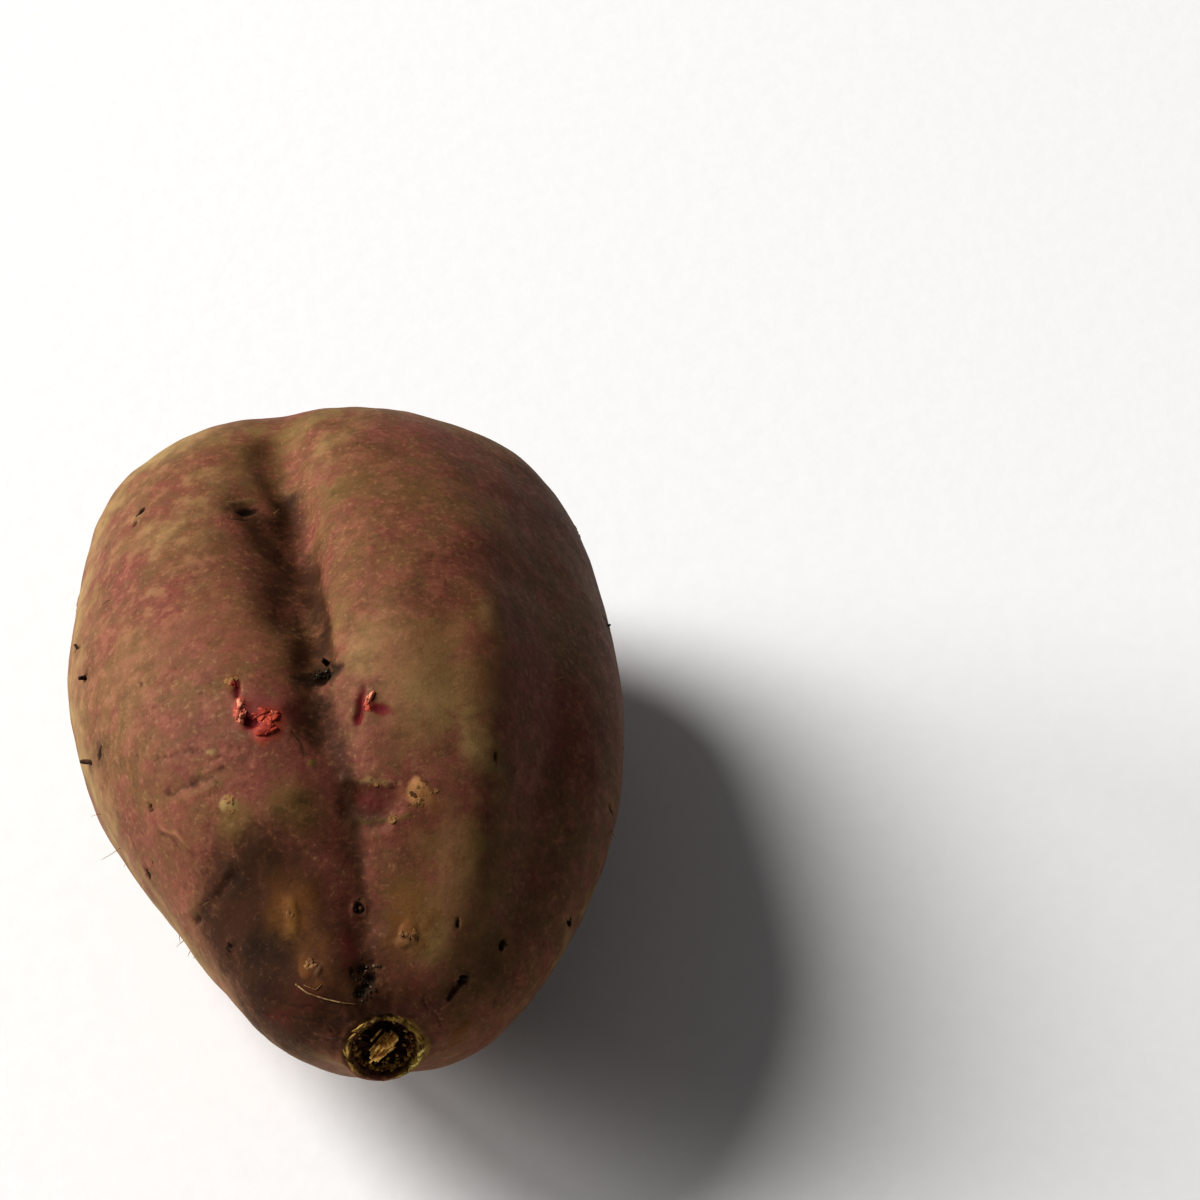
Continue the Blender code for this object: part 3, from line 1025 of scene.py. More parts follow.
@dataclass(frozen=True)
class ScarCut:
    """The stem scar in the skin: a ragged double rim, a fibrous cup and creases that run out of it."""

    radius: float = 0.0052
    tilt: float = math.radians(20.0)  # how far it looks up
    behind: float = 0.012  # how far behind its middle the skin still belongs to it
    wander: float = 0.09  # how far the rim strays, as a share of the radius
    rim_height: float = 0.00026
    rim_width: float = 0.0008
    outer_rim_height: float = 0.00014
    outer_rim_width: float = 0.00040
    furrow_depth: float = 0.00020  # between the two rims
    furrow_width: float = 0.00030
    fibre_height: float = 0.00040
    spoke_height: float = 0.00016  # of the creases that run out of the scar
    line_height: float = 0.00005  # of the fine lines round it
    line_spacing: float = 0.00062
    dark_right: float = -0.0004  # how far the darkest part lies to the right of the middle
    dark_up: float = 0.0008
    core_edge: tuple[float, float] = (0.0008, 0.0022)  # from where the core leaves the cup dark

    def seat(self, middle: Vector) -> Seat:
        """The middle of the scar, looking out of it."""
        level, rise = math.cos(self.tilt), math.sin(self.tilt)
        return Seat(middle, Vector((0.0, -level, rise)), Vector((0.0, rise, level)))

    def on(self, skin: "Skin") -> None:
        """Tears the scar into the skin and stains it."""
        local = skin.scar_seat().local(skin.points)
        near = (local[:, 2] > -self.behind) & (skin.points[:, 1] < 0.0)
        bearing = np.arctan2(local[:, 1], local[:, 0])
        distance = np.hypot(local[:, 0], local[:, 1])
        radius = self.radius
        ring = np.stack([np.cos(bearing), np.sin(bearing), distance / radius], axis=1)
        rough, fibres = Grain(skin.seed + 3), Grain(skin.seed + 4)
        distance = distance * (1.0 + self.wander * rough.at(ring, (0.7, 0.7, 9.0)))
        torn = rough.layers(ring, 0.26, 3)

        cup = ease(distance, radius * 0.99, radius * 0.84) * near
        skirt = ease(distance, radius * 2.6, radius * 1.15) * ease(distance, radius * 0.9, radius * 1.2)
        spokes = fibres.at(ring, (0.16, 0.16, 1.6))
        lines = np.sin(distance / self.line_spacing + 2.2 * torn)
        skin.relief += near * (
            self.rim_height * hill(distance - radius * 1.04, self.rim_width) * torn
            + self.outer_rim_height * hill(distance - radius * 1.20, self.outer_rim_width) * (0.6 + torn)
            - self.furrow_depth * hill(distance - radius * 1.12, self.furrow_width)
            + self.fibre_height * cup * fibres.layers(ring, 0.20, 3)
            + self.spoke_height * skirt * spokes
            + self.line_height * skirt * lines
        )

        crest = hill(distance - radius * 1.02, self.rim_width)
        crest += 0.3 * hill(distance - radius * 1.22, 0.0005)
        bright = 0.58 + 0.5 * torn + 0.34 * np.cos(bearing) - 0.4 * hill(bearing + 0.5 * math.pi, 0.6)
        skin.blot(Stain.CORK, near * crest * bright)
        skin.blot(Stain.UMBER, cup * (0.85 + 0.3 * torn))
        aside = np.hypot(local[:, 0] - self.dark_right, local[:, 1] - self.dark_up)
        hollow = ease(aside, radius * 0.84, radius * 0.62) * ease(distance, *self.core_edge)
        skin.blot(Stain.SOOT, near * hollow * (0.60 + 0.9 * torn))
        skin.blot(Stain.OLIVE, near * 0.30 * ease(distance, radius * 1.6, radius * 1.1))


@dataclass(frozen=True)
class TailStub:
    """The frayed stub of the tail root and its broken end."""

    fray: float = 0.00022  # height of its roughness
    fray_reach: float = 0.0050  # how far from the tip it goes
    fray_size: float = 0.0016  # of its lumps
    shades: tuple[tuple[Stain, float, float, float], ...] = (
        # The stain, its share, and how far from the tip it ends and is full.
        (Stain.UMBER, 0.75, 0.0075, 0.0030),
        (Stain.AMBER, 0.40, 0.0022, 0.0012),
        (Stain.TAN, 0.50, 0.0150, 0.0060),
    )

    def on(self, skin: "Skin") -> None:
        """Roughens the stub and darkens its end."""
        apart = np.linalg.norm(skin.points - np.array(skin.tail_tip), axis=1)
        rough = Grain(skin.seed + 5).layers(skin.points, self.fray_size, 2)
        skin.relief += self.fray * hill(apart, self.fray_reach) * rough
        for stain, share, end, full in self.shades:
            skin.blot(stain, share * ease(apart, end, full))


@dataclass
class Skin:
    """The skin of the whole root: the solid's shape made finer, with its relief and its stains."""

    view: PhotoView
    finish: SkinFinish = field(default_factory=SkinFinish)
    growth: Growth = Growth()
    hidden_eyes: HiddenEyes = HiddenEyes()
    scar: ScarCut = ScarCut()
    tail: TailStub = TailStub()
    rounding: int = 2  # how many times the solid's faces are split and rounded
    same_place: float = 1e-6  # corners closer than this are one
    mark_margin: float = 0.0006  # how far round a mark the mesh is split once more
    crack_margin: float = 0.0009
    wander_size: float = 0.0009  # the size of the bends in the finest trail
    seed: int = 23

    surface: Surface = field(init=False)
    eye_marks: list[tuple[Seat, Mark]] = field(init=False)
    scar_middle: Vector = field(init=False)
    tail_tip: Vector = field(init=False)
    points: np.ndarray = field(init=False)
    normals: np.ndarray = field(init=False)
    relief: np.ndarray = field(init=False)
    stains: dict[Stain, np.ndarray] = field(init=False)

    def build(self) -> bpy.types.Object:
        """Builds the skin in place of the solid.

        Returns:
            The piece, dressed and riding on the body.
        """
        mesh = self.rounded()
        self.surface = Surface(mesh, self.view)
        self.eye_marks = self.hidden_eyes.draw(self.surface, self.seed)
        self.refine(mesh)
        self.read(mesh)
        self.growth.on(self)
        for mark in (*PATCHES, *BLEMISHES):
            self.press(mark, self.surface.under(mark.pixel))
        for seat, mark in self.eye_marks:
            self.press(mark, seat)
        for trail in (*BANDS, *CRACKS):
            self.draw(trail)
        self.scar.on(self)
        self.tail.on(self)
        self.write(mesh)
        piece = finish_piece("skin", mesh, self.finish.material())
        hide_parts(NODE)
        self.surface = Surface(mesh, self.view)
        return piece

    def rounded(self) -> bpy.types.Mesh:
        """Joins the solid's triangles into its four-sided grid and rounds it.

        Returns:
            A new mesh, and sets scar_middle and tail_tip from the two poles of the grid.
        """
        grid = bmesh.new()
        grid.from_mesh(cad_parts[NODE].data)
        bmesh.ops.remove_doubles(grid, verts=grid.verts, dist=self.same_place)
        limits = {"angle_face_threshold": math.pi, "angle_shape_threshold": math.pi}
        bmesh.ops.join_triangles(grid, faces=grid.faces, **limits)
        poles = sorted(grid.verts, key=lambda vertex: len(vertex.link_edges))[-2:]
        self.scar_middle, self.tail_tip = sorted((pole.co.copy() for pole in poles), key=lambda p: p.y)
        mesh = bpy.data.meshes.new("skin_grid")
        grid.to_mesh(mesh)
        grid.free()
        holder = bpy.data.objects.new("skin_grid", mesh)
        bpy.context.scene.collection.objects.link(holder)
        rounder = holder.modifiers.new("rounding", "SUBSURF")
        rounder.levels = self.rounding
        rounder.render_levels = self.rounding
        graph = bpy.context.evaluated_depsgraph_get()
        fine = bpy.data.meshes.new_from_object(holder.evaluated_get(graph))
        bpy.data.objects.remove(holder)
        return fine

    def refine(self, mesh: bpy.types.Mesh) -> None:
        """Splits the faces once more where a blemish needs them finer."""
        self.read(mesh)
        near = np.zeros(len(self.points), bool)
        spots = [(self.surface.under(mark.pixel), mark) for mark in BLEMISHES]
        spots += [pair for pair in self.eye_marks if pair[1].depth > 0.0]
        for seat, mark in spots:
            reach = max(mark.half) * 1.5 + self.mark_margin
            near |= np.linalg.norm(self.points - np.array(seat.place), axis=1) < reach
        for crack in CRACKS:
            for place in self.course(crack):
                near |= np.linalg.norm(self.points - place, axis=1) < self.crack_margin
        grid = bmesh.new()
        grid.from_mesh(mesh)
        grid.verts.ensure_lookup_table()
        edges = [edge for edge in grid.edges if near[edge.verts[0].index] and near[edge.verts[1].index]]
        bmesh.ops.subdivide_edges(grid, edges=edges, cuts=1, use_grid_fill=True)
        grid.to_mesh(mesh)
        grid.free()
        mesh.update()

    def scar_seat(self) -> Seat:
        """The middle of the stem scar, looking out of it."""
        return self.scar.seat(self.scar_middle)

    def read(self, mesh: bpy.types.Mesh) -> None:
        """Takes the vertices and their normals from a mesh, and starts with no relief or stains."""
        count = len(mesh.vertices)
        places, normals = np.empty(count * 3), np.empty(count * 3)
        mesh.vertices.foreach_get("co", places)
        mesh.vertices.foreach_get("normal", normals)
        self.points = places.reshape(-1, 3)
        self.normals = normals.reshape(-1, 3)
        self.relief = np.zeros(count)
        self.stains = {stain: np.zeros(count) for stain in Stain}

    def blot(self, stain: Stain, share: np.ndarray) -> None:
        """Stains the skin, where it isn't stained more by the same already."""
        self.stains[stain] = np.maximum(self.stains[stain], share)

    def press(self, mark: Mark, seat: Seat) -> None:
        """Presses a mark into the skin and stains it.

        Args:
            mark: What is pressed.
            seat: Where.
        """
        chosen = np.linalg.norm(self.points - np.array(seat.place), axis=1) < max(mark.half) * 2.4
        local = seat.turned(mark.turn).local(self.points[chosen])
        rough = Grain(mark.seed).layers(self.points[chosen], min(mark.half) * 1.6, 2)
        # The distance is 1 at the mark's edge.
        distance = np.hypot(local[:, 0] / mark.half[0], local[:, 1] / mark.half[1])
        distance *= 1.0 + mark.ragged * rough
        share = np.zeros(len(self.points))
        share[chosen] = mark.strength * ease(distance, 1.0 + mark.soft, 1.0 - mark.soft)
        self.blot(mark.stain, share)
        bowl = ease(distance, 1.15, 0.25)
        self.relief[chosen] += mark.lip * hill(distance - 1.25, 0.32) - mark.depth * bowl

    def course(self, trail: Trail) -> np.ndarray:
        """The points of a trail on the skin, close together, one a row."""
        corners = np.array([self.surface.under(pixel).place for pixel in trail.pixels])
        return threaded(corners, 10)

    def draw(self, trail: Trail) -> None:
        """Cuts or stains a trail into the skin, wandering a little from its course.

        Args:
            trail: What is drawn.
        """
        course = self.course(trail)
        reach = trail.width * 3.5
        low, high = course.min(axis=0) - reach, course.max(axis=0) + reach
        chosen = np.all((self.points > low) & (self.points < high), axis=1)
        places = self.points[chosen]
        bend = self.wander_size + 2.0 * trail.width
        wander = Grain(len(trail.pixels)).layers(places, bend, 2)[:, None] * 0.2 * bend
        apart = np.linalg.norm((places + wander)[:, None, :] - course[None, :, :], axis=2).min(axis=1)
        cut = hill(apart, trail.width)
        share = np.zeros(len(self.points))
        share[chosen] = trail.strength * cut
        self.blot(trail.stain, share)
        edge = trail.lip * hill(apart - 2.0 * trail.width, trail.width)
        self.relief[chosen] += trail.depth * (edge - cut)

    def write(self, mesh: bpy.types.Mesh) -> None:
        """Moves the mesh's vertices out by the relief and gives it the stains.

        Args:
            mesh: The refined skin.
        """
        places = self.points + self.normals * self.relief[:, None]
        places[:, 2] = np.maximum(places[:, 2], CAD_BOX[0].z)
        mesh.vertices.foreach_set("co", places.ravel())
        for stain, share in self.stains.items():
            layer = mesh.attributes.new(stain.value, "FLOAT", "POINT")
            layer.data.foreach_set("value", np.clip(share, 0.0, 1.0).astype(np.float32))
        mesh.update()


def finish_piece(name: str, mesh: bpy.types.Mesh, material: bpy.types.Material) -> bpy.types.Object:
    """Makes a mesh a dressed piece of the object.

    Args:
        name: The piece's name.
        mesh: Its shape.
        material: Its finish.

    Returns:
        The piece, which rides on the root's body.
    """
    mesh.shade_smooth()
    mesh.materials.clear()
    mesh.materials.append(material)
    piece = bpy.data.objects.new(name, mesh)
    bpy.context.scene.collection.objects.link(piece)
    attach(piece, BODY)
    log.info("%s: %d faces", name, len(mesh.polygons))
    return piece


class Clay:
    """Collects small shapes into one mesh."""

    def __init__(self, seed: int) -> None:
        """Starts with nothing.

        Args:
            seed: Names the roughness of the shapes.
        """
        self.corners: list[np.ndarray] = []
        self.faces: list[tuple[int, ...]] = []
        self.count = 0
        self.rough = Grain(seed)
        ball = bmesh.new()
        bmesh.ops.create_icosphere(ball, subdivisions=3, radius=1.0)
        self.ball = np.array([vertex.co for vertex in ball.verts])
        self.ball_faces = [tuple(vertex.index for vertex in face.verts) for face in ball.faces]
        ball.free()

    def add(self, corners: np.ndarray, faces: list[tuple[int, ...]]) -> None:
        """Adds a shape whose faces count its own corners from 0."""
        self.faces += [tuple(index + self.count for index in face) for face in faces]
        self.corners.append(corners)
        self.count += len(corners)

    def lump(self, seat: Seat, half: tuple[float, float, float], rough: float = 0.3) -> None:
        """Adds a rough lump.

        Args:
            seat: Its middle and axes.
            half: Half its size to the right, up and out.
            rough: How far its surface strays, as a share of its size.
        """
        ball = self.ball * (1.0 + rough * self.rough.layers(self.ball + self.count, 0.8, 3))[:, None]
        self.add(np.array(seat.place) + (ball * np.array(half)) @ seat.axes(), self.ball_faces)

    def strand(self, path: np.ndarray, radii: np.ndarray, sides: int = 7) -> None:
        """Adds a round strand with closed ends.

        Args:
            path: The points of its middle line, one a row.
            radii: How thick it is at each of them.
            sides: How many sides it has.
        """
        ahead = np.gradient(path, axis=0)
        ahead /= np.linalg.norm(ahead, axis=1, keepdims=True)
        side = np.cross(ahead[0], (0.31, 0.17, 0.93))
        rings = []
        angles = np.linspace(0.0, 2.0 * math.pi, sides, endpoint=False)
        for point, way, radius in zip(path, ahead, radii):
            side = side - way * side.dot(way)
            side /= np.linalg.norm(side)
            other = np.cross(way, side)
            ring = np.outer(np.cos(angles), side) + np.outer(np.sin(angles), other)
            rings.append(point + ring * radius)
        corners = np.concatenate([*rings, path[:1], path[-1:]])
        faces: list[tuple[int, ...]] = []
        last = (len(path) - 1) * sides
        for index in range(sides):
            after = (index + 1) % sides
            for row in range(0, last, sides):
                faces.append((row + index, row + after, row + sides + after, row + sides + index))
            faces.append((len(corners) - 2, after, index))
            faces.append((len(corners) - 1, last + index, last + after))
        self.add(corners, faces)

    def piece(self, name: str, finish: TissueFinish) -> bpy.types.Object:
        """Makes one piece of all that was added.

        Args:
            name: The piece's name.
            finish: Its finish.

        Returns:
            The piece.
        """
        mesh = bpy.data.meshes.new(name)
        mesh.from_pydata(np.concatenate(self.corners), [], self.faces)
        return finish_piece(name, mesh, finish.material())


@dataclass
class Scar:
    """What stands in and round the stem scar: the woody core, the torn crust and its crumbs."""

    skin: Skin
    core_middle: tuple[float, float, float] = (-0.0001, 0.0002, -0.0012)  # right, up and out of the scar
    core_half: tuple[float, float, float] = (0.0011, 0.0025, 0.0013)
    core_turn: float = -40.0  # degrees to the left
    core_sunk: float = 0.0003  # how far the core's lump lies below its fibres
    core_seed: int = 41
    fibre_count: int = 90
    fibre_sunk: float = 0.0002
    fibre_bow: float = 0.0002  # how far its end bends down
    fibre_radii: tuple[float, float] = (0.00019, 0.00010)  # at its start and its end
    flake_count: int = 150
    flake_least: tuple[float, float, float] = (0.00010, 0.0003, 0.00012)  # half its size
    flake_most: tuple[float, float, float] = (0.00022, 0.0010, 0.00030)
    dark_arc: tuple[float, float] = (90.0, 144.0)  # its middle and how far it reaches either way, in degrees
    dark_seed: int = 42
    pale_arc: tuple[float, float] = (-36.0, 34.0)
    pale_seed: int = 44
    crumb_count: int = 130
    crumb_arc: tuple[float, float] = (-95.0, 52.0)  # where most of them lie, and their spread
    crumb_ring: tuple[float, float] = (0.58, 0.98)  # from where to where they lie, in radii of the scar
    crumb_size: tuple[float, float] = (0.00014, 0.00042)
    crumb_level: float = -0.0022  # how far out of the scar they are dropped from
    crumb_seed: int = 43
    wood: TissueFinish = TissueFinish("scar_wood", tint(236, 192, 110), tint(160, 108, 50), 0.0005, 0.6)
    crumbling: TissueFinish = TissueFinish("scar_crumbs", tint(190, 150, 76), tint(112, 74, 34), 0.0005, 0.7)
    crust: TissueFinish = TissueFinish("scar_crust", tint(166, 134, 68), tint(88, 62, 28), 0.0006, 0.7)
    pale_crust: TissueFinish = TissueFinish("pale_crust", tint(236, 220, 132), tint(184, 158, 82), 0.0006)

    def build(self) -> list[bpy.types.Object]:
        """Builds the scar's pieces.

        Returns:
            The core, the crust, its pale part and the crumbs.
        """
        dark = self.rim("scar_crust", self.crust, self.dark_seed, self.flake_count, *self.dark_arc)
        few = self.flake_count // 4
        pale = self.rim("scar_pale_crust", self.pale_crust, self.pale_seed, few, *self.pale_arc)
        return [self.core(), dark, pale, self.crumbs()]

    def core(self) -> bpy.types.Object:
        """The broken woody core, a slanting bundle of fibres that stands up in the cup."""
        draw = np.random.default_rng(self.core_seed)
        scar = self.skin.scar_seat()
        seat = scar.turned(self.core_turn)
        middle = scar.at(*self.core_middle)
        wide, long, high = self.core_half
        clay = Clay(self.core_seed)
        clay.lump(Seat(middle - seat.out * self.core_sunk, seat.out, seat.up), self.core_half)
        for _ in range(self.fibre_count):
            side, rise = draw.normal(0.0, 0.45 * wide), draw.uniform(-0.2, 0.9) * high
            half_length = long * draw.uniform(0.25, 0.75)
            slide = draw.uniform(-0.5, 0.5) * long
            heading = seat.up + seat.right * draw.normal(0.0, 0.10) + seat.out * draw.normal(0.0, 0.16)
            height = rise * (1.0 - (side / wide) ** 2) - self.fibre_sunk
            start = middle + seat.right * side + seat.out * height
            start += seat.up * (slide - half_length)
            bow = seat.out * -self.fibre_bow
            path = bent(start, heading.normalized(), 2.0 * half_length, bow, 7)
            thick = np.linspace(*self.fibre_radii, 7) * draw.uniform(0.6, 1.5)
            clay.strand(path, thick * draw.uniform(0.8, 1.2, 7), 6)
        return clay.piece("scar_core", self.wood)

    def rim(
        self, name: str, finish: TissueFinish, seed: int, count: int, middle: float, spread: float
    ) -> bpy.types.Object:
        """The torn ring of cork, in overlapping flakes that lean out of the cup.

        Args:
            name: The piece's name.
            finish: Its finish.
            seed: Names the draw.
            count: How many flakes there are.
            middle: Where on the ring they lie, in degrees from its right-hand side over the top.
            spread: How far round the ring they reach on either side.

        Returns:
            The piece.
        """
        draw = np.random.default_rng(seed)
        seat = self.skin.scar_seat()
        clay = Clay(seed)
        for _ in range(count):
            angle = math.radians(middle + draw.uniform(-spread, spread))
            radius = self.skin.scar.radius * draw.normal(1.03, 0.045)
            spot = seat.at(math.cos(angle) * radius, math.sin(angle) * radius)
            under = self.skin.surface.nearest(spot)
            outward = (spot - seat.place).normalized()
            lean = (under.out + seat.out * 0.3 + outward * draw.uniform(-0.6, 0.4)).normalized()
            flake = self.skin.surface.seat(under.place, lean, lean.cross(outward))
            half = draw.uniform(self.flake_least, self.flake_most)
            clay.lump(flake.turned(draw.normal(0.0, 12.0)), tuple(half), 0.35)
        return clay.piece(name, finish)

    def crumbs(self) -> bpy.types.Object:
        """The crumbs of cork that lie in the cup, most of them at its lower edge."""
        draw = np.random.default_rng(self.crumb_seed)
        seat = self.skin.scar_seat()
        clay = Clay(self.crumb_seed)
        for _ in range(self.crumb_count):
            angle = math.radians(draw.normal(*self.crumb_arc))
            radius = self.skin.scar.radius * draw.uniform(*self.crumb_ring)
            spot = seat.at(math.cos(angle) * radius, math.sin(angle) * radius, self.crumb_level)
            under = self.skin.surface.nearest(spot)
            size = draw.uniform(*self.crumb_size)
            clay.lump(under, (size, size * draw.uniform(0.6, 1.2), size * 0.7), 0.5)
        return clay.piece("scar_crumbs", self.crumbling)


Spot = tuple[Pixel, tuple[float, float, float], float]


@dataclass
class Sores:
    """The flesh that the two sores lay bare, and the flakes of cork on the healed spots."""

    skin: Skin
    flesh: TissueFinish = TissueFinish("raw_flesh", tint(172, 76, 56), tint(118, 38, 30), 0.0008, 0.6)
    pale_flesh: TissueFinish = TissueFinish("dry_flesh", tint(208, 138, 110), tint(170, 84, 66), 0.0007, 0.6)
    cork: TissueFinish = TissueFinish("healed_cork", tint(132, 96, 58), tint(84, 56, 34), 0.0009, 0.7)
    raw: tuple[Spot, ...] = (
        # The pixel, half its size to the right, up and out, and its turn.
        ((262, 712), (0.0016, 0.0005, 0.0005), 10.0),
        ((272, 717), (0.0006, 0.0011, 0.0005), -24.0),
        ((271, 727), (0.0006, 0.0010, 0.0005), 22.0),
        ((263, 732), (0.0013, 0.0005, 0.0005), 12.0),
        ((264, 721), (0.0007, 0.0006, 0.0003), 40.0),
        ((235, 684), (0.0004, 0.0009, 0.0003), 14.0),
        ((368, 708), (0.0004, 0.0007, 0.0003), 8.0),
    )
    dry: tuple[Spot, ...] = (
        ((241, 703), (0.0005, 0.0009, 0.0005), -12.0),
        ((238, 712), (0.0006, 0.0009, 0.0006), 4.0),
        ((240, 720), (0.0006, 0.0007, 0.0005), 20.0),
        ((245, 714), (0.0003, 0.0006, 0.0004), 0.0),
        ((273, 713), (0.0004, 0.0005, 0.0005), 0.0),
        ((368, 700), (0.0005, 0.0009, 0.0005), 4.0),
    )
    healed: tuple[tuple[Pixel, float, int], ...] = (
        # The middle, the spread and the number of flakes.
        ((420, 795), 0.0022, 14),
        ((405, 933), 0.0012, 6),
        ((292, 916), 0.0010, 3),
        ((228, 805), 0.0011, 5),
        ((309, 964), 0.0009, 3),
        ((378, 781), 0.0010, 3),
        ((392, 820), 0.0010, 3),
        ((231, 680), 0.0011, 6),
    )
    flake_half: tuple[float, float] = (0.00025, 0.00070)  # half its length, the least and the most
    flake_thickness: float = 0.00005
    flake_sunk: float = 0.00002
    raw_seed: int = 51
    dry_seed: int = 52
    flake_seed: int = 53

    def build(self) -> list[bpy.types.Object]:
        """Builds the sores' pieces.

        Returns:
            The raw flesh, the dry flesh and the healed cork.
        """
        return [
            self.lumps("raw_flesh", self.raw, self.flesh, self.raw_seed),
            self.lumps("dry_flesh", self.dry, self.pale_flesh, self.dry_seed),
            self.flakes(),
        ]

    def lumps(
        self, name: str, spots: tuple[Spot, ...], finish: TissueFinish, seed: int
    ) -> bpy.types.Object:
        """Seats rough lumps half sunk in the skin, each in a few ragged pieces.

        Args:
            name: The piece's name.
            spots: The lumps.
            finish: Their finish.
            seed: Names their roughness.

        Returns:
            The piece.
        """
        draw = np.random.default_rng(seed)
        clay = Clay(seed)
        for pixel, half, turn in spots:
            seat = self.skin.surface.under(pixel).turned(turn)
            for _ in range(4):
                right, up = draw.normal(0.0, 0.35, 2) * half[:2]
                share = draw.uniform(0.45, 0.85)
                place = seat.at(right, up, -0.3 * half[2])
                part = Seat(place, seat.out, seat.up).turned(draw.normal(0.0, 22.0))
                clay.lump(part, tuple(share * size for size in half), 0.55)
        return clay.piece(name, finish)

    def flakes(self) -> bpy.types.Object:
        """Flakes of cork that lie on the healed spots and along the edges of the scab."""
        draw = np.random.default_rng(self.flake_seed)
        clay = Clay(self.flake_seed)
        for pixel, spread, count in self.healed:
            middle = self.skin.surface.under(pixel)
            for _ in range(count):
                right, up = draw.normal(0.0, 0.55 * spread, 2)
                under = self.skin.surface.nearest(middle.at(right, up))
                lean = (under.out + Vector(draw.normal(0.0, 0.06, 3))).normalized()
                sunk = under.at(0.0, 0.0, -self.flake_sunk)
                seat = self.skin.surface.seat(sunk, lean, under.up).turned(draw.uniform(0.0, 180.0))
                long = draw.uniform(*self.flake_half)
                clay.lump(seat, (long, long * draw.uniform(0.4, 0.9), self.flake_thickness), 0.7)
        return clay.piece("healed_cork", self.cork)


@dataclass
class Rootlets:
    """The dark stubs of broken rootlets, and the hairs."""

    skin: Skin
    bark: TissueFinish = TissueFinish("rootlet_bark", tint(74, 48, 32), tint(32, 21, 14), 0.0005, 0.8)
    straw: TissueFinish = TissueFinish("hair_straw", tint(160, 132, 90), tint(104, 78, 50), 0.0005, 0.6)
    stubs: tuple[tuple[Pixel, float, float, float], ...] = (
        # The pixel, the length, the radius and how far it leans to the right.
        ((331, 668), 0.0024, 0.00062, 0.9),
        ((327, 664), 0.0014, 0.00050, 0.2),
        ((86, 676), 0.0011, 0.00042, -0.4),
        ((92, 763), 0.0021, 0.00044, -1.1),
        ((151, 807), 0.0010, 0.00030, 0.4),
        ((359, 908), 0.0009, 0.00040, 0.2),
        ((461, 979), 0.0010, 0.00045, 0.5),
        ((501, 945), 0.0009, 0.00034, 0.5),
        ((364, 975), 0.0010, 0.00040, 0.2),
    )
    hidden_stub_length: tuple[float, float] = (0.0004, 0.0011)
    hidden_stub_radius: tuple[float, float] = (0.00020, 0.00036)
    stub_root: float = 0.0006  # how far it reaches into the skin
    stub_seed: int = 61
    threads: tuple[tuple[tuple[Pixel, ...], float], ...] = (
        # What each thread above the scar runs through, and its radius.
        (((296, 984), (308, 993), (326, 999), (344, 1003), (356, 1004)), 0.00014),
        (((304, 985), (316, 990), (322, 984)), 0.00009),
    )
    hair_count: int = 20
    hair_length: tuple[float, float] = (0.0009, 0.0030)
    hair_radii: tuple[float, float] = (0.00007, 0.00003)  # at its foot and its end
    hair_root: float = 0.0003
    lowest_stub: float = 0.008  # the height of the lowest hidden eye that holds one
    lowest_hair: float = 0.004
    hair_clearance: float = 0.0003
    hair_seed: int = 62

    def build(self) -> list[bpy.types.Object]:
        """Builds the stubs and the hairs.

        Returns:
            Both pieces.
        """
        return [self.broken(), self.hairs()]

    def broken(self) -> bpy.types.Object:
        """The stubs: those that the photograph shows, and one in every third hidden eye that isn't too low.
        """
        draw = np.random.default_rng(self.stub_seed)
        clay = Clay(self.stub_seed)
        places = [(self.skin.surface.under(pixel), *rest) for pixel, *rest in self.stubs]
        holes = [seat for seat, mark in self.skin.eye_marks if mark.depth > 0.0]
        for seat in holes[::3]:
            length = draw.uniform(*self.hidden_stub_length)
            radius = draw.uniform(*self.hidden_stub_radius)
            if seat.place.z > self.lowest_stub:
                nearest = self.skin.surface.nearest(seat.place)
                places.append((nearest, length, radius, draw.uniform(-0.6, 0.6)))
        for seat, length, radius, lean in places:
            heading = (seat.out + seat.right * lean + seat.up * draw.normal(0.0, 0.25)).normalized()
            aside = seat.up * draw.normal(0.0, 0.2) * length
            path = bent(seat.at(0.0, 0.0, -self.stub_root), heading, length + self.stub_root, aside, 7)
            thick = radius * np.linspace(1.15, 0.62, 7) * draw.uniform(0.85, 1.2, 7)
            clay.strand(path, thick, 8)
        return clay.piece("rootlet_stubs", self.bark)

    def hairs(self) -> bpy.types.Object:
        """The hairs: the pale thread above the scar, those on the lower left, and a few all over."""
        draw = np.random.default_rng(self.hair_seed)
        clay = Clay(self.hair_seed)
        for pixels, radius in self.threads:
            self.thread(clay, pixels, radius)
        low, high = CAD_BOX[0].y * 0.85, CAD_BOX[1].y * 0.85
        for index in range(self.hair_count):
            forward = draw.uniform(low, low * 0.2) if index % 2 else draw.uniform(low, high)
            around = draw.uniform(150.0, 215.0) if index % 2 else draw.uniform(-40.0, 220.0)
            seat = self.skin.surface.round_core(forward, around)
            if seat.place.z < self.lowest_hair:
                continue
            lean = seat.up * draw.normal(0.0, 0.9) + seat.right * draw.normal(0.0, 0.5)
            heading = (seat.out * 0.8 + lean).normalized()
            length = draw.uniform(*self.hair_length)
            curl = Vector(draw.normal(0.0, 0.3, 3)) * length - Vector((0.0, 0.0, 0.25 * length))
            path = bent(seat.at(0.0, 0.0, -self.hair_root), heading, length, curl, 12)
            path[:, 2] = np.maximum(path[:, 2], self.hair_clearance)
            clay.strand(path, np.linspace(*self.hair_radii, 12), 5)
        return clay.piece("hair_roots", self.straw)

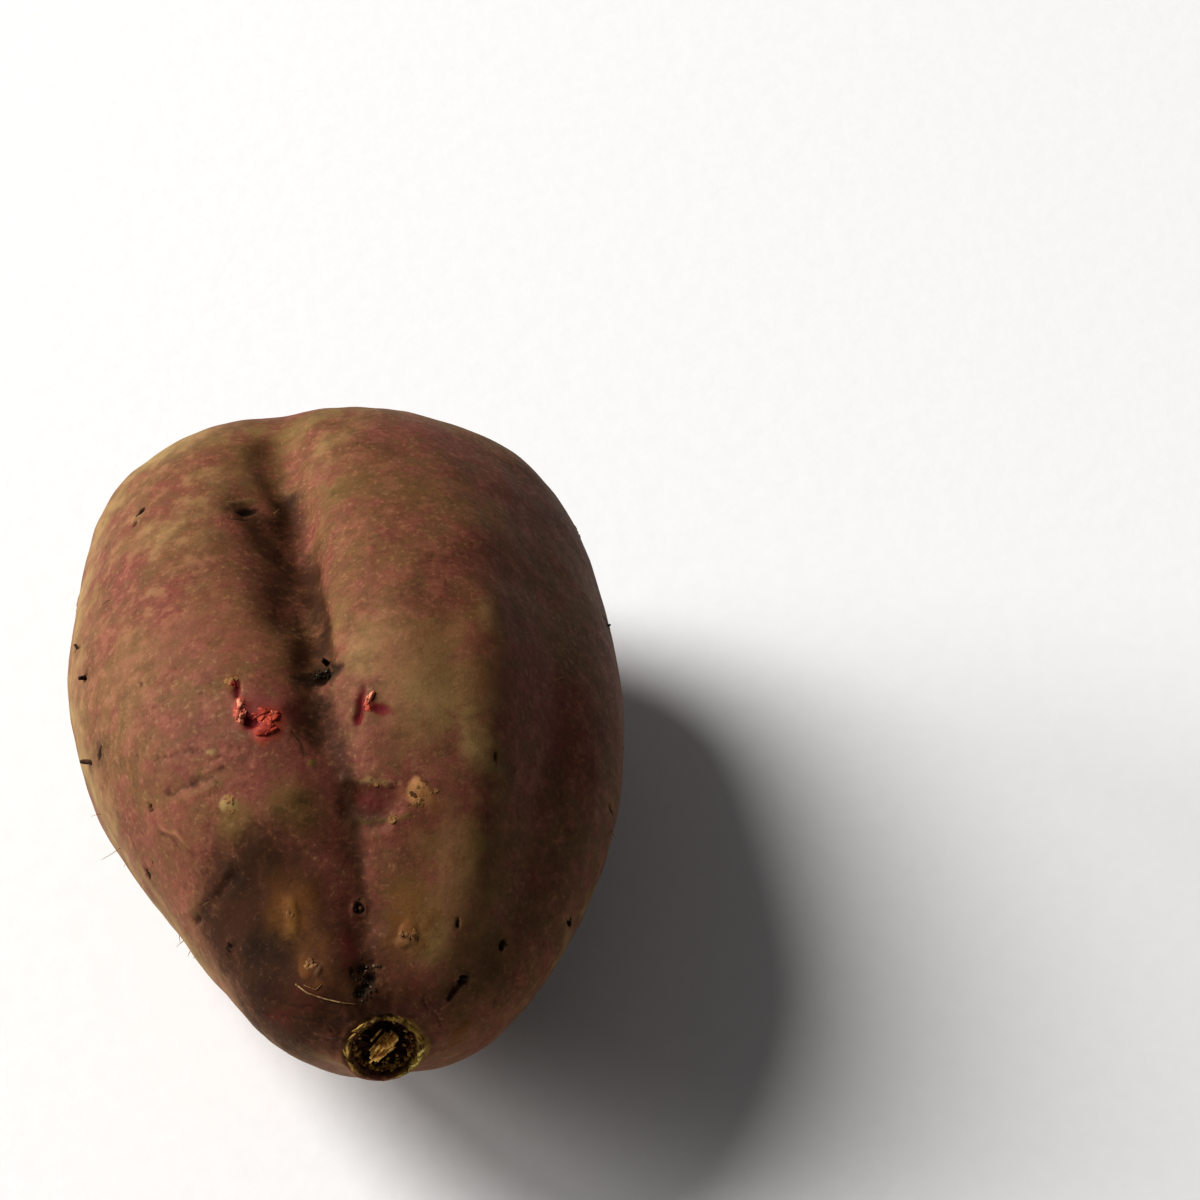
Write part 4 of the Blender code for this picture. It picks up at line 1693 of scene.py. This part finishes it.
    def thread(self, clay: Clay, pixels: tuple[Pixel, ...], radius: float) -> None:
        """Lays a hair along the skin.

        Args:
            clay: What it is added to.
            pixels: The pixels that it runs through.
            radius: How thick it is.
        """
        seats = [self.skin.surface.under(pixel) for pixel in pixels]
        corners = np.array([seat.at(0.0, 0.0, radius * 0.8) for seat in seats])
        lifted = []
        for point in threaded(corners, 8):
            under = self.skin.surface.nearest(Vector(point))
            lifted.append(under.at(0.0, 0.0, radius * 0.8))
        clay.strand(np.array(lifted), np.linspace(radius, radius * 0.5, len(lifted)), 6)


@dataclass
class Soil:
    """Crumbs of soil left in the pits, in the groove and in the hollow above the scar."""

    skin: Skin
    earth: TissueFinish = TissueFinish("soil", tint(62, 51, 36), tint(34, 26, 18), 0.0004, 0.9)
    pebble: TissueFinish = TissueFinish("soil_grit", tint(128, 112, 94), tint(84, 68, 54), 0.0004, 0.8)
    heaps: tuple[tuple[Pixel, float, int], ...] = (
        # The middle, the spread and the number of crumbs.
        ((324, 675), 0.0018, 22),
        ((364, 972), 0.0018, 34),
        ((366, 990), 0.0018, 34),
        ((359, 908), 0.0009, 8),
        ((461, 981), 0.0008, 8),
    )
    crumb_size: tuple[float, float] = (0.00010, 0.00026)
    grit_share: float = 0.12  # how much grit there is to the crumbs
    earth_seed: int = 71
    grit_seed: int = 72

    def build(self) -> list[bpy.types.Object]:
        """Builds the crumbs.

        Returns:
            The dark crumbs and the pale grit among them.
        """
        return [
            self.strewn("soil_crumbs", self.earth, self.earth_seed, 1.0),
            self.strewn("soil_grit", self.pebble, self.grit_seed, self.grit_share),
        ]

    def strewn(self, name: str, finish: TissueFinish, seed: int, share: float) -> bpy.types.Object:
        """Strews crumbs round the middle of each heap.

        Args:
            name: The piece's name.
            finish: Their finish.
            seed: Names the draw.
            share: How many there are of each heap's number.

        Returns:
            The piece.
        """
        draw = np.random.default_rng(seed)
        clay = Clay(seed)
        for pixel, spread, count in self.heaps:
            middle = self.skin.surface.under(pixel)
            for _ in range(max(2, round(count * share))):
                spot = middle.at(draw.normal(0.0, spread * 0.6), draw.normal(0.0, spread * 0.6))
                under = self.skin.surface.nearest(spot)
                size = draw.uniform(*self.crumb_size)
                clay.lump(under, (size, size * draw.uniform(0.7, 1.2), size * 0.7), 0.4)
        return clay.piece(name, finish)


@dataclass(frozen=True)
class Lamp:
    """A large round soft light that is aimed at the object."""

    name: str
    power: float  # watts
    azimuth: float  # radians round the object, 0 is towards the camera
    elevation: float
    size: float
    distance: float = 6.0
    colour: Colour = tint(255, 254, 252)

    def build(self, target: Vector) -> None:
        """Hangs the light.

        Args:
            target: What it is aimed at.
        """
        data = bpy.data.lights.new(self.name, "AREA")
        data.shape = "DISK"
        data.size = self.size
        data.energy = self.power
        data.color = self.colour[:3]
        light = bpy.data.objects.new(self.name, data)
        level = math.cos(self.elevation)
        aside, behind = math.sin(self.azimuth) * level, -math.cos(self.azimuth) * level
        way = Vector((aside, behind, math.sin(self.elevation)))
        light.location = target + way * self.distance
        light.rotation_mode = "QUATERNION"
        light.rotation_quaternion = (-way).to_track_quat("-Z", "Y")
        bpy.context.scene.collection.objects.link(light)


@dataclass
class Studio:
    """The plain pale floor and the soft light, which comes from the left and from behind."""

    view: PhotoView
    floor_half: float = 12.0
    key: Lamp = Lamp("key_light", 405.0, math.radians(-118.0), math.radians(42.0), 3.2)
    low_key: Lamp = Lamp("low_key_light", 235.0, math.radians(-106.0), math.radians(14.0), 2.3)
    sky: Colour = tint(240, 240, 241)
    sky_strength: float = 0.11

    def build(self) -> None:
        """Lays the floor and sets up the light."""
        self.floor()
        self.key.build(self.view.middle())
        self.low_key.build(self.view.middle())
        self.surroundings()

    def floor(self) -> None:
        """The floor, level with what the root rests on."""
        mesh = bpy.data.meshes.new("floor")
        half, level = self.floor_half, CAD_BOX[0].z
        corners = [(-half, -half, level), (half, -half, level), (half, half, level), (-half, half, level)]
        mesh.from_pydata(corners, [], [(0, 1, 2, 3)])
        mesh.materials.append(FloorFinish().material())
        floor = bpy.data.objects.new("floor", mesh)
        bpy.context.scene.collection.objects.link(floor)

    def surroundings(self) -> None:
        """The pale light from all round, and plain colour for the screen."""
        world = bpy.data.worlds.new("studio")
        world.use_nodes = True
        background = world.node_tree.nodes["Background"]
        background.inputs["Color"].default_value = self.sky
        background.inputs["Strength"].default_value = self.sky_strength
        bpy.context.scene.world = world
        bpy.context.scene.view_settings.view_transform = "Standard"
        bpy.context.scene.view_settings.look = "Medium High Contrast"


def main() -> None:
    """Builds the root, piece by piece, and the studio round it."""
    logging.basicConfig(level=logging.INFO, format="%(message)s")
    view = PhotoView()
    view.camera()
    skin = Skin(view)
    skin.build()
    Scar(skin).build()
    Sores(skin).build()
    Rootlets(skin).build()
    Soil(skin).build()
    Studio(view).build()


if __name__ == "__main__":
    main()
